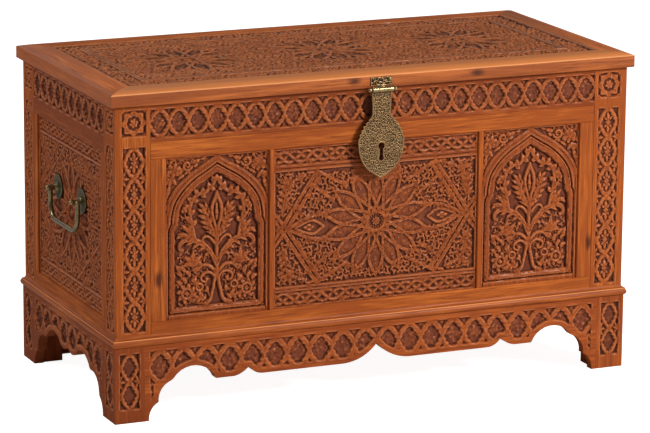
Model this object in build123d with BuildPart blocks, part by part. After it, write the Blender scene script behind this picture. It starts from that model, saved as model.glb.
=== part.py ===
from build123d import *
import os
from math import cos, hypot, radians, sin

os.makedirs("parts", exist_ok=True)

# ---------------------------------------------------------------------------
# Driving dimensions, in millimetres.  X runs to the right, -Y is the front,
# +Z is up, and the origin is on the floor under the middle of the chest.
# ---------------------------------------------------------------------------
LID_WIDTH = 1020.0
LID_DEPTH = 500.0
LID_EDGE = 22.0            # square edge of the lid frame
BEVEL_RISE = 5.0           # flat bevel that rises from that edge
BEVEL_RUN = 20.0
LID_OVERHANG = 10.0        # past the carcass, all round
SKIRT_HEIGHT = 137.0       # feet and aprons, up to the base moulding
BASE_THICKNESS = 14.0      # base frame with the half-round nosing
CARCASS_HEIGHT = 417.0
SEAT = 0.3                 # the shut lid stands this far off the carcass

# Carcass joinery
POST_FRONT = 65.0          # post width as seen on the front and back
POST_SIDE = 56.0           # post width as seen on the ends
WALL = 20.0                # frame thickness
PANEL_RECESS = 4.0         # panels lie this far behind the frame
PANEL_THICKNESS = 16.0
CARVING_DEPTH = 5.0
FRIEZE_HEIGHT = 67.0       # board with the lattice, under the lid
FRIEZE_MARGIN_TOP = 7.0
FRIEZE_BAND = 49.0         # height of the carved lattice
FRIEZE_PITCH = 36.4
STRAP = 5.0                # width of the lattice's straps
TOP_RAIL = 31.0
BOTTOM_RAIL = 27.0
STILE = 29.0
MUNTIN = 9.0
CENTRE_PANEL = 401.0       # width of the middle panel
SIDE_STILE = 17.0
SIDE_FRIEZE_HEIGHT = 90.0  # end boards carry their rail in one piece
BACK_RAIL = 60.0
EASE = 1.2                 # eased arrises and quirks between boards

# Corner strips, measured from the post's outer edge
STRIP_MARGIN = 14.0
STRIP_WIDTH = 43.0
SIDE_STRIP_MARGIN = 9.0
SIDE_STRIP_WIDTH = 38.0
STRIP_BOTTOM = 11.0
STRIP_GAP = 18.0           # plain wood between strip and corner square
STRIP_PITCH = 55.0

# Base and feet
NOSING_OVERHANG = 8.0
SKIRT_OVERHANG = 4.0       # feet and aprons stand out past the carcass
BASE_FRAME_WIDTH = 62.0
COVE = 6.0                 # little cove on top of the nosing
FOOT_FRONT = 56.0
FOOT_SIDE = 58.0
FOOT_PLAIN = 24.0          # uncarved wood at the bottom of a foot
FOOT_PITCH = 50.0
FOOT_CARVED = 104.0        # height of a foot's carved field
APRON_THICKNESS = 18.0
APRON_LOW = 65.0           # bottom of the front apron's lobes, above the floor
APRON_RIM = 9.0            # plain edge left along an apron's outline
APRON_BAND = 52.0          # height of its lattice
APRON_PITCH = 44.0
APRON_MARGIN = 10.0        # plain wood above the lattice
BACK_BRACKET = 50.0        # plain bracket of the back apron
BOTTOM_BOARD = 12.0

# Lower edges of the aprons, from the toe beside a foot to the middle, as distances from the
# middle and heights.  A run to one point is straight; one through a first point is an arc.
FRONT_TOE = 440.0
FRONT_SCALLOPS = (
    ((436, 20), (422, 33)), ((422, 39),),              # toe and its step
    ((414, 59), (398, 70)), ((394, 73),),              # foil and its nick
    ((353, 93), (313, APRON_LOW)), ((278, APRON_LOW),),    # vault beside the foot
    ((265, 69), (250, 80)), ((238, 69), (222, APRON_LOW)),    # pointed notch
    ((70, APRON_LOW),), ((31, 73), (0, 97)),           # long edge, up to the middle notch
)
SIDE_TOE = 182.0
SIDE_SCALLOPS = (
    ((178, 19), (165, 32)), ((163, 38),),
    ((151, 61), (122, 68)), ((115, 70),),
    ((74, 91), (38, 74)), ((20, 71), (0, 79)),
)

# Arched panels
ARCH_MARGIN = 3.0          # point of the outer moulding below the rail
ARCH_MOULDING = 12.0       # outer moulding, at its point
ARCH_INNER_MOULDING = 16.0
ARCH_JAMB = 5.0            # the same two on the straight jambs
ARCH_INNER_JAMB = 12.0
ARCH_SPRING = 109.0        # haunches spring this far below the point
ARCH_CUSP = 9.0            # the jambs step in this far at the shoulder
QUIRK = 1.5                # depth and width of a groove between mouldings
SILL = 20.0
SPANDREL_DEPTH = 3.0

# Middle panel
BRAID_MARGIN = 5.0         # above the upper band and below the lower one
BRAID = 27.0
BRAID_PITCH = 26.0
BAR = 8.0                  # plain bars between the bands and the field
HEXAGON_TIP = 181.0        # middle of the panel to the hexagon's side points
HEXAGON_TOP = 112.0        # and to the ends of its level sides
STAR_PETALS = 14
STAR_REACH = 85.0
STAR_RING = 58.0           # where neighbouring petals are widest
STAR_STRETCH = 1.12        # the star is wider than it is high
STAR_BOSS = 15.0
STAR_STRAP = 4.5
LOCK_PATCH = 8.0           # plain wood kept round the lock

# End panels
END_BRAID = 25.0
END_STAR_PETALS = 12
END_STAR_REACH = 112.0

# Lid joinery
LID_FRAME = 50.0           # width of the mitred frame
LID_PANEL_THICKNESS = 20.0
LID_CARVING_DEPTH = 4.0
BATTEN_WIDTH = 45.0
BATTEN_THICKNESS = 18.0
BATTEN_INSET = 190.0       # batten's middle, from the end of the carcass
BATTEN_END = 2.0           # batten's end to the lid frame
LID_PANEL_RECESS = 1.0
LID_BORDER = 46.0          # carved border inside the lid frame
LID_BORDER_PITCH = 46.0
LID_LINE = 5.0             # plain line between border and inner field
LID_STAR_SPACING = 270.0
LID_STAR_PETALS = 12
LID_STAR_REACH = 118.0

# Fits
RUNNING = 0.2              # radial clearance of a pin that turns
SIDE_PLAY = 0.4            # between knuckles, and beside a bail's arm

# Butt hinges at the back
HINGE_LENGTH = 90.0
HINGE_SPACING = 620.0
HINGE_LEAF = 2.0
HINGE_LEAF_WIDTH = 20.0
KNUCKLE_RADIUS = 4.0
KNUCKLES = 5
HINGE_PIN_RADIUS = 2.0
KNUCKLE_GAP = 0.8          # knuckle to the back of the carcass

# Hasp
HASP_PLATE = 2.0
HASP_PLATE_WIDTH = 42.0
HASP_PLATE_HEIGHT = 15.0
HASP_PLATE_TOP = 3.0       # below the top of the lid's square edge
HASP_NECK = 40.0
HASP_BARREL_RADIUS = 5.5
HASP_PIN_RADIUS = 2.6
HASP_DROP = 2.5            # barrel's axis below the lid's underside
HASP_BACK_GAP = 0.7        # barrel to the edge of the lid
HASP_LEAF = 3.0
HASP_WIDTH = 90.0
HASP_LENGTH = 162.0        # barrel's axis to the tip of the leaf
HASP_FINIAL = 4.2          # ball on each end of the pin
HASP_KNUCKLE = 17.0        # middle knuckle, which belongs to the plate
KEYHOLE_RADIUS = 6.2
KEYHOLE_SLOT = 6.5
KEYHOLE_FOOT = 4.7         # round foot of the keyhole
KEYHOLE_HEIGHT = 33.0
KEYHOLE_DROP = 103.0       # barrel's axis to the centre of the round part
STAPLE_DROP = 142.0
STAPLE_LENGTH = 14.2
STAPLE_THICKNESS = 3.0
STAPLE_HEIGHT = 14.0
STAPLE_EYE = 8.0           # height of the eye that the bolt enters
STAPLE_EYE_LENGTH = 6.0
STAPLE_NOSE = 2.0          # metal in front of the eye
STAPLE_PLAY = 1.0          # beside the staple in its slot
STAPLE_SWING = 3.0         # above and below it, for the way it swings in
HASP_PRESSED = 4.5         # degrees that the leaf swings in to the lock

# Lock behind the middle panel
LOCK_SKIN = 3.0            # wood left in front of the lock
LOCK_WIDTH = 80.0
LOCK_HEIGHT = 64.0
LOCK_RISE = 10.0           # middle of the lock above the staple
LOCK_DEPTH = 19.0
LOCK_FIT = 0.3             # round the lock in its mortise
KEY_SLOT = 8.0             # keyhole through wood and plate
KEY_SLOT_HEIGHT = 20.0
KEY_SLOT_DROP = 10.0       # its middle below the round part of the hasp's keyhole
LOCK_PLATE = 1.5
LOCK_WALL = 2.0
BOLT_THROW = 10.0
BOLT_LENGTH = 30.0
BOLT_HEIGHT = 6.0
BOLT_THICKNESS = 3.0
BOLT_REST = 4.0            # end of the drawn bolt, from the middle of the lock
BOLT_PLAY = 0.3

# Bail handles on the ends
BAIL_SPACING = 144.0       # between the arms
BAIL_DROP = 56.0
BAIL_RADIUS = 4.3
BAIL_BEND = 30.0
HANDLE_HEIGHT = 363.0      # axis of the bail above the floor
BAIL_REACH = 12.5          # axis of the bail out from the panel
BAIL_PIVOT_RADIUS = 2.2
POST_RADIUS = 4.2
POST_BALL = 5.2            # radius of the ball at the end of a handle post
POST_BALL_REACH = 20.0     # and its centre, out from the panel
POST_SHANK = 3.2           # tail of a handle post, through the panel to its nut
SHANK_FIT = 0.3
HANDLE_PLATE = 2.0
HANDLE_PLATE_WIDTH = 56.0
HANDLE_PLATE_HEIGHT = 62.0
NUT_RADIUS = 9.0
NUT_THICKNESS = 5.0
SHANK_END = 1.0            # tail past the nut

# ---------------------------------------------------------------------------
# Places that follow from those sizes
# ---------------------------------------------------------------------------
BODY_WIDTH = LID_WIDTH - 2 * LID_OVERHANG
BODY_DEPTH = LID_DEPTH - 2 * LID_OVERHANG
HALF_WIDTH, HALF_DEPTH = BODY_WIDTH / 2, BODY_DEPTH / 2
CARCASS_BOTTOM = SKIRT_HEIGHT + BASE_THICKNESS
CARCASS_TOP = CARCASS_BOTTOM + CARCASS_HEIGHT
LID_BOTTOM = CARCASS_TOP + SEAT
LID_SHOULDER = LID_BOTTOM + LID_EDGE
LID_TOP = LID_SHOULDER + BEVEL_RISE
FRIEZE_BOTTOM = CARCASS_TOP - FRIEZE_HEIGHT
PANEL_TOP = FRIEZE_BOTTOM - TOP_RAIL
PANEL_BOTTOM = CARCASS_BOTTOM + BOTTOM_RAIL
BETWEEN_POSTS = HALF_WIDTH - POST_FRONT
BETWEEN_POSTS_SIDE = HALF_DEPTH - POST_SIDE

# Show faces of the carcass.  On each, local x runs to the viewer's right and
# local y is the height above the floor.
FRONT = Plane(origin=(0, -HALF_DEPTH, 0), x_dir=(1, 0, 0), z_dir=(0, -1, 0))
BACK = Plane(origin=(0, HALF_DEPTH, 0), x_dir=(-1, 0, 0), z_dir=(0, 1, 0))
LEFT = Plane(origin=(-HALF_WIDTH, 0, 0), x_dir=(0, -1, 0), z_dir=(-1, 0, 0))
RIGHT = Plane(origin=(HALF_WIDTH, 0, 0), x_dir=(0, 1, 0), z_dir=(1, 0, 0))


def save(piece, name):
    piece.part.label = name
    export_step(piece.part, f"parts/{name}.step")


def block(face, left, right, bottom, top):
    """A rectangle on a show face, given by its four sides."""
    with BuildSketch(face) as outline:
        with Locations(((left + right) / 2, (bottom + top) / 2)):
            Rectangle(right - left, top - bottom)
    return outline.sketch


# ---------------------------------------------------------------------------
# Carved patterns, drawn as sketches
# ---------------------------------------------------------------------------
def band_plane(face, across, height, upright=False):
    """Plane in a show face, centred on a carved band, with local x along the band."""
    return Plane(origin=face.from_local_coords((across, height, 0)),
                 x_dir=face.y_dir if upright else face.x_dir, z_dir=face.z_dir)


def lattice(plane, length, height, pitch, strap):
    """Openings of a lattice band: a row of pointed ovals, with darts between them."""
    cells = max(1, round(length / pitch))
    cell = length / cells
    half_wide, half_high = cell / 2 - strap / 2, height / 2 - strap / 2
    quarter = [(half_wide, 0), (0.62 * half_wide, 0.55 * half_high), (0, half_high)]
    upper = quarter + [(-u, v) for u, v in reversed(quarter[:-1])]
    oval = upper + [(u, -v) for u, v in reversed(upper[1:-1])]
    dart = (0.62 * half_wide, 0.66 * half_high)
    with BuildSketch(plane) as openings:
        with GridLocations(cell, 1, cells, 1):
            Polygon(*oval, align=None)
        if cells > 1:
            with GridLocations(cell, height, cells - 1, 2):
                Polygon((dart[0], 0), (0, dart[1]), (-dart[0], 0), (0, -dart[1]), align=None)
        Rectangle(length, height, mode=Mode.INTERSECT)
    return openings.sketch


def star_square(plane, width, height, strap):
    """Ground of a corner square, round an eight-pointed star."""
    side = 0.62 * (min(width, height) - strap)
    with BuildSketch(plane) as ground:
        Rectangle(width - strap, height - strap)
        Rectangle(side, side, mode=Mode.SUBTRACT)
        Rectangle(side, side, rotation=45, mode=Mode.SUBTRACT)
    return ground.sketch


def arch(plane, half_width, sill, spring, apex, cusp):
    """A pointed arch on straight jambs, which step in by `cusp` at the shoulders."""
    haunch = half_width - cusp
    rise = apex - spring
    with BuildSketch(plane) as opening:
        with BuildLine():
            sill_line = Line((0, sill), (half_width, sill))
            jamb = Line(sill_line @ 1, (half_width, spring - 4 * cusp))
            shoulder = Line(jamb @ 1, (haunch, spring - 2 * cusp))
            neck = Line(shoulder @ 1, (haunch, spring))
            curve = ThreePointArc(neck @ 1, (0.88 * haunch, spring + 0.36 * rise),
                                  (0.58 * haunch, spring + 0.66 * rise))
            Line(curve @ 1, (0, apex))
            mirror(about=Plane.YZ)
        make_face()
    return opening.sketch


def spandrels(plane, half_width, spring, apex, top):
    """The two fields beside an arch whose jambs run into the panel's edges."""
    rise = apex - spring
    with BuildSketch(plane) as fields:
        with BuildLine():
            curve = ThreePointArc((half_width, spring), (0.88 * half_width, spring + 0.36 * rise),
                                  (0.58 * half_width, spring + 0.66 * rise))
            point = Line(curve @ 1, (0, apex))
            lift = Line(point @ 1, (0, top))
            edge = Line(lift @ 1, (half_width, top))
            Line(edge @ 1, curve @ 0)
        make_face()
        mirror(about=Plane.YZ)
    return fields.sketch


def bar(start, end, width):
    """A straight strap between two points, for a sketch that adds several at once."""
    length = hypot(end[0] - start[0], end[1] - start[1])
    across = ((end[1] - start[1]) * width / 2 / length, (start[0] - end[0]) * width / 2 / length)
    return Polygon((start[0] + across[0], start[1] + across[1]), (end[0] + across[0], end[1] + across[1]),
                   (end[0] - across[0], end[1] - across[1]), (start[0] - across[0], start[1] - across[1]),
                   align=None, mode=Mode.PRIVATE)


def star_straps(petals, boss, ring, reach, strap, stretch):
    """Pointed petals that cross their neighbours, round a boss."""
    step = radians(360 / petals)

    def spot(radius, turn):
        return (stretch * radius * cos(turn), radius * sin(turn))

    sides = []
    with BuildSketch() as straps:
        Ellipse(stretch * boss, boss)
        for index in range(petals):
            turn = radians(90) + index * step
            for hand in (-1, 1):
                widest = spot(ring, turn + 0.62 * hand * step)
                sides.append(bar(spot(boss, turn + 0.3 * hand * step), widest, strap))
                sides.append(bar(widest, spot(reach, turn), strap))
        add(sides)
    return straps.sketch


# ---------------------------------------------------------------------------
# Plain boards of the frame
# ---------------------------------------------------------------------------
def board(face, left, right, bottom, top, recess=0.0, thickness=WALL):
    """A board lying in a show face, with its front arrises eased."""
    with BuildPart() as plank:
        extrude(block(face.offset(-recess), left, right, bottom, top), amount=-thickness)
        chamfer(plank.faces().sort_by(Axis(face.origin, face.z_dir))[-1].edges(), EASE)
    return plank


# Front frame: two rails, stiles against the posts and muntins between the panels
save(board(FRONT, -BETWEEN_POSTS, BETWEEN_POSTS, PANEL_TOP, FRIEZE_BOTTOM), "front_rail_top")
save(board(FRONT, -BETWEEN_POSTS, BETWEEN_POSTS, CARCASS_BOTTOM, PANEL_BOTTOM), "front_rail_bottom")
STILE_INNER = BETWEEN_POSTS - STILE
MUNTIN_INNER = CENTRE_PANEL / 2
MUNTIN_OUTER = MUNTIN_INNER + MUNTIN
with BuildPart() as stiles_front:
    for left, right in ((-BETWEEN_POSTS, -STILE_INNER), (STILE_INNER, BETWEEN_POSTS)):
        extrude(block(FRONT, left, right, PANEL_BOTTOM, PANEL_TOP), amount=-WALL)
    chamfer(stiles_front.faces().filter_by(Plane.XZ).group_by(Axis.Y)[0].edges(), EASE)
save(stiles_front, "stiles_front")
with BuildPart() as muntins_front:
    for left, right in ((-MUNTIN_OUTER, -MUNTIN_INNER), (MUNTIN_INNER, MUNTIN_OUTER)):
        extrude(block(FRONT, left, right, PANEL_BOTTOM, PANEL_TOP), amount=-WALL)
    chamfer(muntins_front.faces().filter_by(Plane.XZ).group_by(Axis.Y)[0].edges(), EASE)
save(muntins_front, "muntins_front")

# End frames: a bottom rail and two narrow stiles each; the frieze board is the top rail
SIDE_PANEL_TOP = CARCASS_TOP - SIDE_FRIEZE_HEIGHT
SIDE_STILE_INNER = BETWEEN_POSTS_SIDE - SIDE_STILE
for side, end in (("left", LEFT), ("right", RIGHT)):
    save(board(end, -BETWEEN_POSTS_SIDE, BETWEEN_POSTS_SIDE, CARCASS_BOTTOM, PANEL_BOTTOM),
         f"rail_bottom_{side}")
    with BuildPart() as stiles_side:
        for left, right in ((-BETWEEN_POSTS_SIDE, -SIDE_STILE_INNER),
                            (SIDE_STILE_INNER, BETWEEN_POSTS_SIDE)):
            extrude(block(end, left, right, PANEL_BOTTOM, SIDE_PANEL_TOP), amount=-WALL)
        shown = stiles_side.faces().filter_by(Plane.YZ).group_by(Axis(end.origin, end.z_dir))[-1]
        chamfer(shown.edges(), EASE)
    save(stiles_side, f"stiles_{side}")

# Back: plain rails with one plain panel between them
save(board(BACK, -BETWEEN_POSTS, BETWEEN_POSTS, CARCASS_BOTTOM, CARCASS_BOTTOM + BACK_RAIL),
     "back_rail_bottom")
save(board(BACK, -BETWEEN_POSTS, BETWEEN_POSTS, CARCASS_BOTTOM + BACK_RAIL, CARCASS_TOP - BACK_RAIL,
           recess=PANEL_RECESS, thickness=PANEL_THICKNESS), "back_panel")

# ---------------------------------------------------------------------------
# Corner posts: a chain of ovals up each show face, and a star square at the top
# ---------------------------------------------------------------------------
FRIEZE_MIDDLE = CARCASS_TOP - FRIEZE_MARGIN_TOP - FRIEZE_BAND / 2
CHAIN_BOTTOM = CARCASS_BOTTOM + STRIP_BOTTOM
CHAIN_TOP = FRIEZE_MIDDLE - FRIEZE_BAND / 2 - STRIP_GAP
for side, end in (("left", LEFT), ("right", RIGHT)):
    x_sign = end.z_dir.X
    for place, y_sign in (("front", -1), ("back", 1)):
        shown = [(end, end.x_dir.Y * y_sign * (HALF_DEPTH - SIDE_STRIP_MARGIN - SIDE_STRIP_WIDTH / 2),
                  SIDE_STRIP_WIDTH)]
        if place == "front":
            shown.append((FRONT, x_sign * (HALF_WIDTH - STRIP_MARGIN - STRIP_WIDTH / 2), STRIP_WIDTH))
        with BuildPart() as post:
            with BuildSketch(Plane.XY.offset(CARCASS_BOTTOM)):
                with Locations((x_sign * (HALF_WIDTH - POST_FRONT / 2),
                                y_sign * (HALF_DEPTH - POST_SIDE / 2))):
                    Rectangle(POST_FRONT, POST_SIDE)
            extrude(amount=CARCASS_HEIGHT)
            chamfer(post.edges().filter_by(Axis.Z), EASE)
            for face, across, width in shown:
                chain = band_plane(face, across, (CHAIN_BOTTOM + CHAIN_TOP) / 2, upright=True)
                extrude(lattice(chain, CHAIN_TOP - CHAIN_BOTTOM, width, STRIP_PITCH, STRAP),
                        amount=-CARVING_DEPTH, mode=Mode.SUBTRACT)
                extrude(star_square(band_plane(face, across, FRIEZE_MIDDLE), width, FRIEZE_BAND, STRAP),
                        amount=-CARVING_DEPTH, mode=Mode.SUBTRACT)
        save(post, f"post_{place}_{side}")

# ---------------------------------------------------------------------------
# Frieze boards under the lid
# ---------------------------------------------------------------------------
for name, face, half, bottom in (("frieze_front", FRONT, BETWEEN_POSTS, FRIEZE_BOTTOM),
                                 ("frieze_left", LEFT, BETWEEN_POSTS_SIDE, SIDE_PANEL_TOP),
                                 ("frieze_right", RIGHT, BETWEEN_POSTS_SIDE, SIDE_PANEL_TOP)):
    with BuildPart() as frieze:
        extrude(block(face, -half, half, bottom, CARCASS_TOP), amount=-WALL)
        chamfer(frieze.faces().sort_by(Axis(face.origin, face.z_dir))[-1].edges(), EASE)
        extrude(lattice(band_plane(face, 0, FRIEZE_MIDDLE), 2 * half, FRIEZE_BAND, FRIEZE_PITCH, STRAP),
                amount=-CARVING_DEPTH, mode=Mode.SUBTRACT)
    save(frieze, name)

# ---------------------------------------------------------------------------
# Arched panels: two stepped mouldings round a sunk field, and sunk spandrels
# ---------------------------------------------------------------------------
ARCH_HALF = (STILE_INNER - MUNTIN_OUTER) / 2
ARCH_MIDDLE = (STILE_INNER + MUNTIN_OUTER) / 2
ARCH_APEX = PANEL_TOP - ARCH_MARGIN
ARCH_SPRING_HEIGHT = ARCH_APEX - ARCH_SPRING
for side, x_sign in (("left", -1), ("right", 1)):
    middle = band_plane(FRONT.offset(-PANEL_RECESS), x_sign * ARCH_MIDDLE, 0)
    inner_half = ARCH_HALF - ARCH_JAMB - ARCH_INNER_JAMB
    inner_apex = ARCH_APEX - ARCH_MOULDING - ARCH_INNER_MOULDING
    with BuildPart() as panel:
        extrude(block(middle, -ARCH_HALF, ARCH_HALF, PANEL_BOTTOM, PANEL_TOP), amount=-PANEL_THICKNESS)
        extrude(spandrels(middle, ARCH_HALF, ARCH_SPRING_HEIGHT, ARCH_APEX, PANEL_TOP),
                amount=-SPANDREL_DEPTH, mode=Mode.SUBTRACT)
        extrude(arch(middle, ARCH_HALF - ARCH_JAMB, PANEL_BOTTOM + SILL / 3, ARCH_SPRING_HEIGHT,
                     ARCH_APEX - ARCH_MOULDING, ARCH_CUSP),
                amount=-QUIRK, mode=Mode.SUBTRACT)
        extrude(arch(middle, inner_half, PANEL_BOTTOM + SILL, ARCH_SPRING_HEIGHT, inner_apex, ARCH_CUSP),
                amount=-CARVING_DEPTH, mode=Mode.SUBTRACT)
    save(panel, f"panel_arch_{side}")

# ---------------------------------------------------------------------------
# Places of the hasp and lock, which the middle panel is cut for
# ---------------------------------------------------------------------------
HASP_AXIS_Y = -LID_DEPTH / 2 - HASP_BARREL_RADIUS - HASP_BACK_GAP
HASP_AXIS_Z = LID_BOTTOM - HASP_DROP
STAPLE_Z = HASP_AXIS_Z - STAPLE_DROP
KEYHOLE_Z = HASP_AXIS_Z - KEYHOLE_DROP
KEY_SLOT_Z = KEYHOLE_Z - KEY_SLOT_DROP
LOCK_Z = STAPLE_Z + LOCK_RISE
PANEL_FACE_Y = -HALF_DEPTH + PANEL_RECESS
PANEL_BACK_Y = PANEL_FACE_Y + PANEL_THICKNESS
LOCK_FACE_Y = PANEL_FACE_Y + LOCK_SKIN
STAPLE_TIP = HASP_BARREL_RADIUS + STAPLE_LENGTH
STAPLE_EYE_REACH = STAPLE_TIP - STAPLE_NOSE - STAPLE_EYE_LENGTH / 2
BOLT_Z = (HASP_AXIS_Z - STAPLE_DROP * cos(radians(HASP_PRESSED))
          + STAPLE_EYE_REACH * sin(radians(HASP_PRESSED)))
STAPLE_SLOT_WIDTH = STAPLE_THICKNESS + 2 * STAPLE_PLAY
STAPLE_SLOT_HEIGHT = STAPLE_HEIGHT + 2 * STAPLE_SWING


def lock_holes(plane):
    """Keyhole and staple slot, on a plane whose local y is the height."""
    with BuildSketch(plane) as holes:
        with Locations((0, STAPLE_Z)):
            Rectangle(STAPLE_SLOT_WIDTH, STAPLE_SLOT_HEIGHT)
        with Locations((0, KEY_SLOT_Z)):
            SlotOverall(KEY_SLOT_HEIGHT, KEY_SLOT, rotation=90)
    return holes.sketch


# ---------------------------------------------------------------------------
# Middle panel: a star of crossing petals in a hexagon of doubled straps, between
# two carved bands.  The lock is let in from behind.
# ---------------------------------------------------------------------------
FIELD_BOTTOM = PANEL_BOTTOM + BRAID_MARGIN + BRAID + BAR
FIELD_TOP = PANEL_TOP - BRAID_MARGIN - BRAID - BAR
FIELD_MIDDLE = (FIELD_BOTTOM + FIELD_TOP) / 2
FIELD_HALF = (FIELD_TOP - FIELD_BOTTOM) / 2
FIELD_SIDE = MUNTIN_INNER - BAR
hexagon_slope = FIELD_HALF / (HEXAGON_TIP - HEXAGON_TOP)
crossing = FIELD_HALF - hexagon_slope * (FIELD_SIDE - HEXAGON_TOP)
with BuildSketch() as strapwork:
    add(star_straps(STAR_PETALS, STAR_BOSS, STAR_RING, STAR_REACH, STAR_STRAP, STAR_STRETCH))
    add([bar((hand * (HEXAGON_TOP + shift), rise * FIELD_HALF), (hand * (FIELD_SIDE + shift), rise * crossing),
             STRAP)
         for hand in (-1, 1) for rise in (-1, 1) for shift in (-STRAP, STRAP)])
with BuildPart() as panel_centre:
    face = FRONT.offset(-PANEL_RECESS)
    extrude(block(face, -MUNTIN_INNER, MUNTIN_INNER, PANEL_BOTTOM, PANEL_TOP), amount=-PANEL_THICKNESS)
    with BuildSketch(band_plane(face, 0, FIELD_MIDDLE)):
        Rectangle(2 * FIELD_SIDE, 2 * FIELD_HALF)
        add(strapwork.sketch_local, mode=Mode.SUBTRACT)
        with Locations((0, LOCK_Z - FIELD_MIDDLE)):
            Rectangle(LOCK_WIDTH + 2 * LOCK_PATCH, LOCK_HEIGHT + 2 * LOCK_PATCH, mode=Mode.SUBTRACT)
    extrude(amount=-CARVING_DEPTH, mode=Mode.SUBTRACT)
    lower = band_plane(face, 0, PANEL_BOTTOM + BRAID_MARGIN + BRAID / 2)
    extrude(lattice(lower, 2 * FIELD_SIDE, BRAID, BRAID_PITCH, STRAP),
            amount=-CARVING_DEPTH, mode=Mode.SUBTRACT)
    upper_length = FIELD_SIDE - LOCK_WIDTH / 2 - LOCK_PATCH
    for hand in (-1, 1):
        upper = band_plane(face, hand * (FIELD_SIDE - upper_length / 2), PANEL_TOP - BRAID_MARGIN - BRAID / 2)
        extrude(lattice(upper, upper_length, BRAID, BRAID_PITCH, STRAP),
                amount=-CARVING_DEPTH, mode=Mode.SUBTRACT)
    mortise = block(Plane.XZ.offset(-PANEL_BACK_Y), -LOCK_WIDTH / 2 - LOCK_FIT, LOCK_WIDTH / 2 + LOCK_FIT,
                    LOCK_Z - LOCK_HEIGHT / 2 - LOCK_FIT, LOCK_Z + LOCK_HEIGHT / 2 + LOCK_FIT)
    extrude(mortise, amount=PANEL_BACK_Y - LOCK_FACE_Y, mode=Mode.SUBTRACT)
    extrude(lock_holes(face), amount=-PANEL_THICKNESS, mode=Mode.SUBTRACT)
save(panel_centre, "panel_centre")

# ---------------------------------------------------------------------------
# Lock: plate with the holes, open case behind it, and the bolt in its guides
# ---------------------------------------------------------------------------
LOCK_BACK = Plane.XZ.offset(-LOCK_FACE_Y)
CASE_FRONT_Y = LOCK_FACE_Y + LOCK_PLATE
with BuildPart() as lock_plate:
    extrude(block(LOCK_BACK, -LOCK_WIDTH / 2, LOCK_WIDTH / 2, LOCK_Z - LOCK_HEIGHT / 2,
                  LOCK_Z + LOCK_HEIGHT / 2), amount=-LOCK_PLATE)
    extrude(lock_holes(LOCK_BACK), amount=-LOCK_PLATE, mode=Mode.SUBTRACT)
save(lock_plate, "lock_plate")

with BuildPart() as lock_case:
    case_face = Plane.XZ.offset(-CASE_FRONT_Y)
    extrude(block(case_face, -LOCK_WIDTH / 2, LOCK_WIDTH / 2, LOCK_Z - LOCK_HEIGHT / 2,
                  LOCK_Z + LOCK_HEIGHT / 2), amount=-LOCK_DEPTH)
    extrude(block(case_face, LOCK_WALL - LOCK_WIDTH / 2, LOCK_WIDTH / 2 - LOCK_WALL,
                  LOCK_Z - LOCK_HEIGHT / 2 + LOCK_WALL, LOCK_Z + LOCK_HEIGHT / 2 - LOCK_WALL),
            amount=LOCK_WALL - LOCK_DEPTH, mode=Mode.SUBTRACT)
    for hand in (-1, 1):
        near = BOLT_Z + hand * (BOLT_HEIGHT / 2 + BOLT_PLAY)
        far = near + hand * LOCK_WALL
        extrude(block(case_face, BOLT_REST + BOLT_THROW / 2, LOCK_WIDTH / 2 - LOCK_WALL / 2,
                      min(near, far), max(near, far)), amount=-LOCK_DEPTH)
save(lock_case, "lock_case")

with BuildPart() as lock_bolt:
    extrude(block(Plane.XZ.offset(-CASE_FRONT_Y - BOLT_PLAY), BOLT_REST, BOLT_REST + BOLT_LENGTH,
                  BOLT_Z - BOLT_HEIGHT / 2, BOLT_Z + BOLT_HEIGHT / 2), amount=-BOLT_THICKNESS)
save(lock_bolt, "lock_bolt")

# ---------------------------------------------------------------------------
# End panels: a star between two carved bands; handle posts pass through them
# ---------------------------------------------------------------------------
POST_SPREAD = BAIL_SPACING / 2 - BAIL_RADIUS - SIDE_PLAY - POST_BALL
END_FIELD_TOP = SIDE_PANEL_TOP - END_BRAID
END_FIELD_BOTTOM = PANEL_BOTTOM + END_BRAID
END_FIELD_MIDDLE = (END_FIELD_TOP + END_FIELD_BOTTOM) / 2
END_FIELD_HALF = (END_FIELD_TOP - END_FIELD_BOTTOM) / 2
with BuildSketch() as end_strapwork:
    add(star_straps(END_STAR_PETALS, STAR_BOSS, STAR_RING, END_STAR_REACH, STRAP, 1.0))
    add([bar((hand * SIDE_STILE_INNER, rise * END_FIELD_HALF / 2),
             (hand * SIDE_STILE_INNER / 2, rise * END_FIELD_HALF), STRAP)
         for hand in (-1, 1) for rise in (-1, 1)])
for side, end in (("left", LEFT), ("right", RIGHT)):
    face = end.offset(-PANEL_RECESS)
    with BuildPart() as panel:
        extrude(block(face, -SIDE_STILE_INNER, SIDE_STILE_INNER, PANEL_BOTTOM, SIDE_PANEL_TOP),
                amount=-PANEL_THICKNESS)
        with BuildSketch(band_plane(face, 0, END_FIELD_MIDDLE)):
            Rectangle(2 * SIDE_STILE_INNER - BAR, 2 * END_FIELD_HALF - BAR)
            add(end_strapwork.sketch_local, mode=Mode.SUBTRACT)
        extrude(amount=-CARVING_DEPTH, mode=Mode.SUBTRACT)
        for height in (PANEL_BOTTOM + END_BRAID / 2, SIDE_PANEL_TOP - END_BRAID / 2):
            extrude(lattice(band_plane(face, 0, height), 2 * SIDE_STILE_INNER - BAR, END_BRAID - STRAP / 2,
                            BRAID_PITCH, STRAP), amount=-CARVING_DEPTH, mode=Mode.SUBTRACT)
        with BuildSketch(face):
            with Locations((-POST_SPREAD, HANDLE_HEIGHT), (POST_SPREAD, HANDLE_HEIGHT)):
                Circle(POST_SHANK + SHANK_FIT)
        extrude(amount=-PANEL_THICKNESS, mode=Mode.SUBTRACT)
    save(panel, f"panel_side_{side}")

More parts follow.
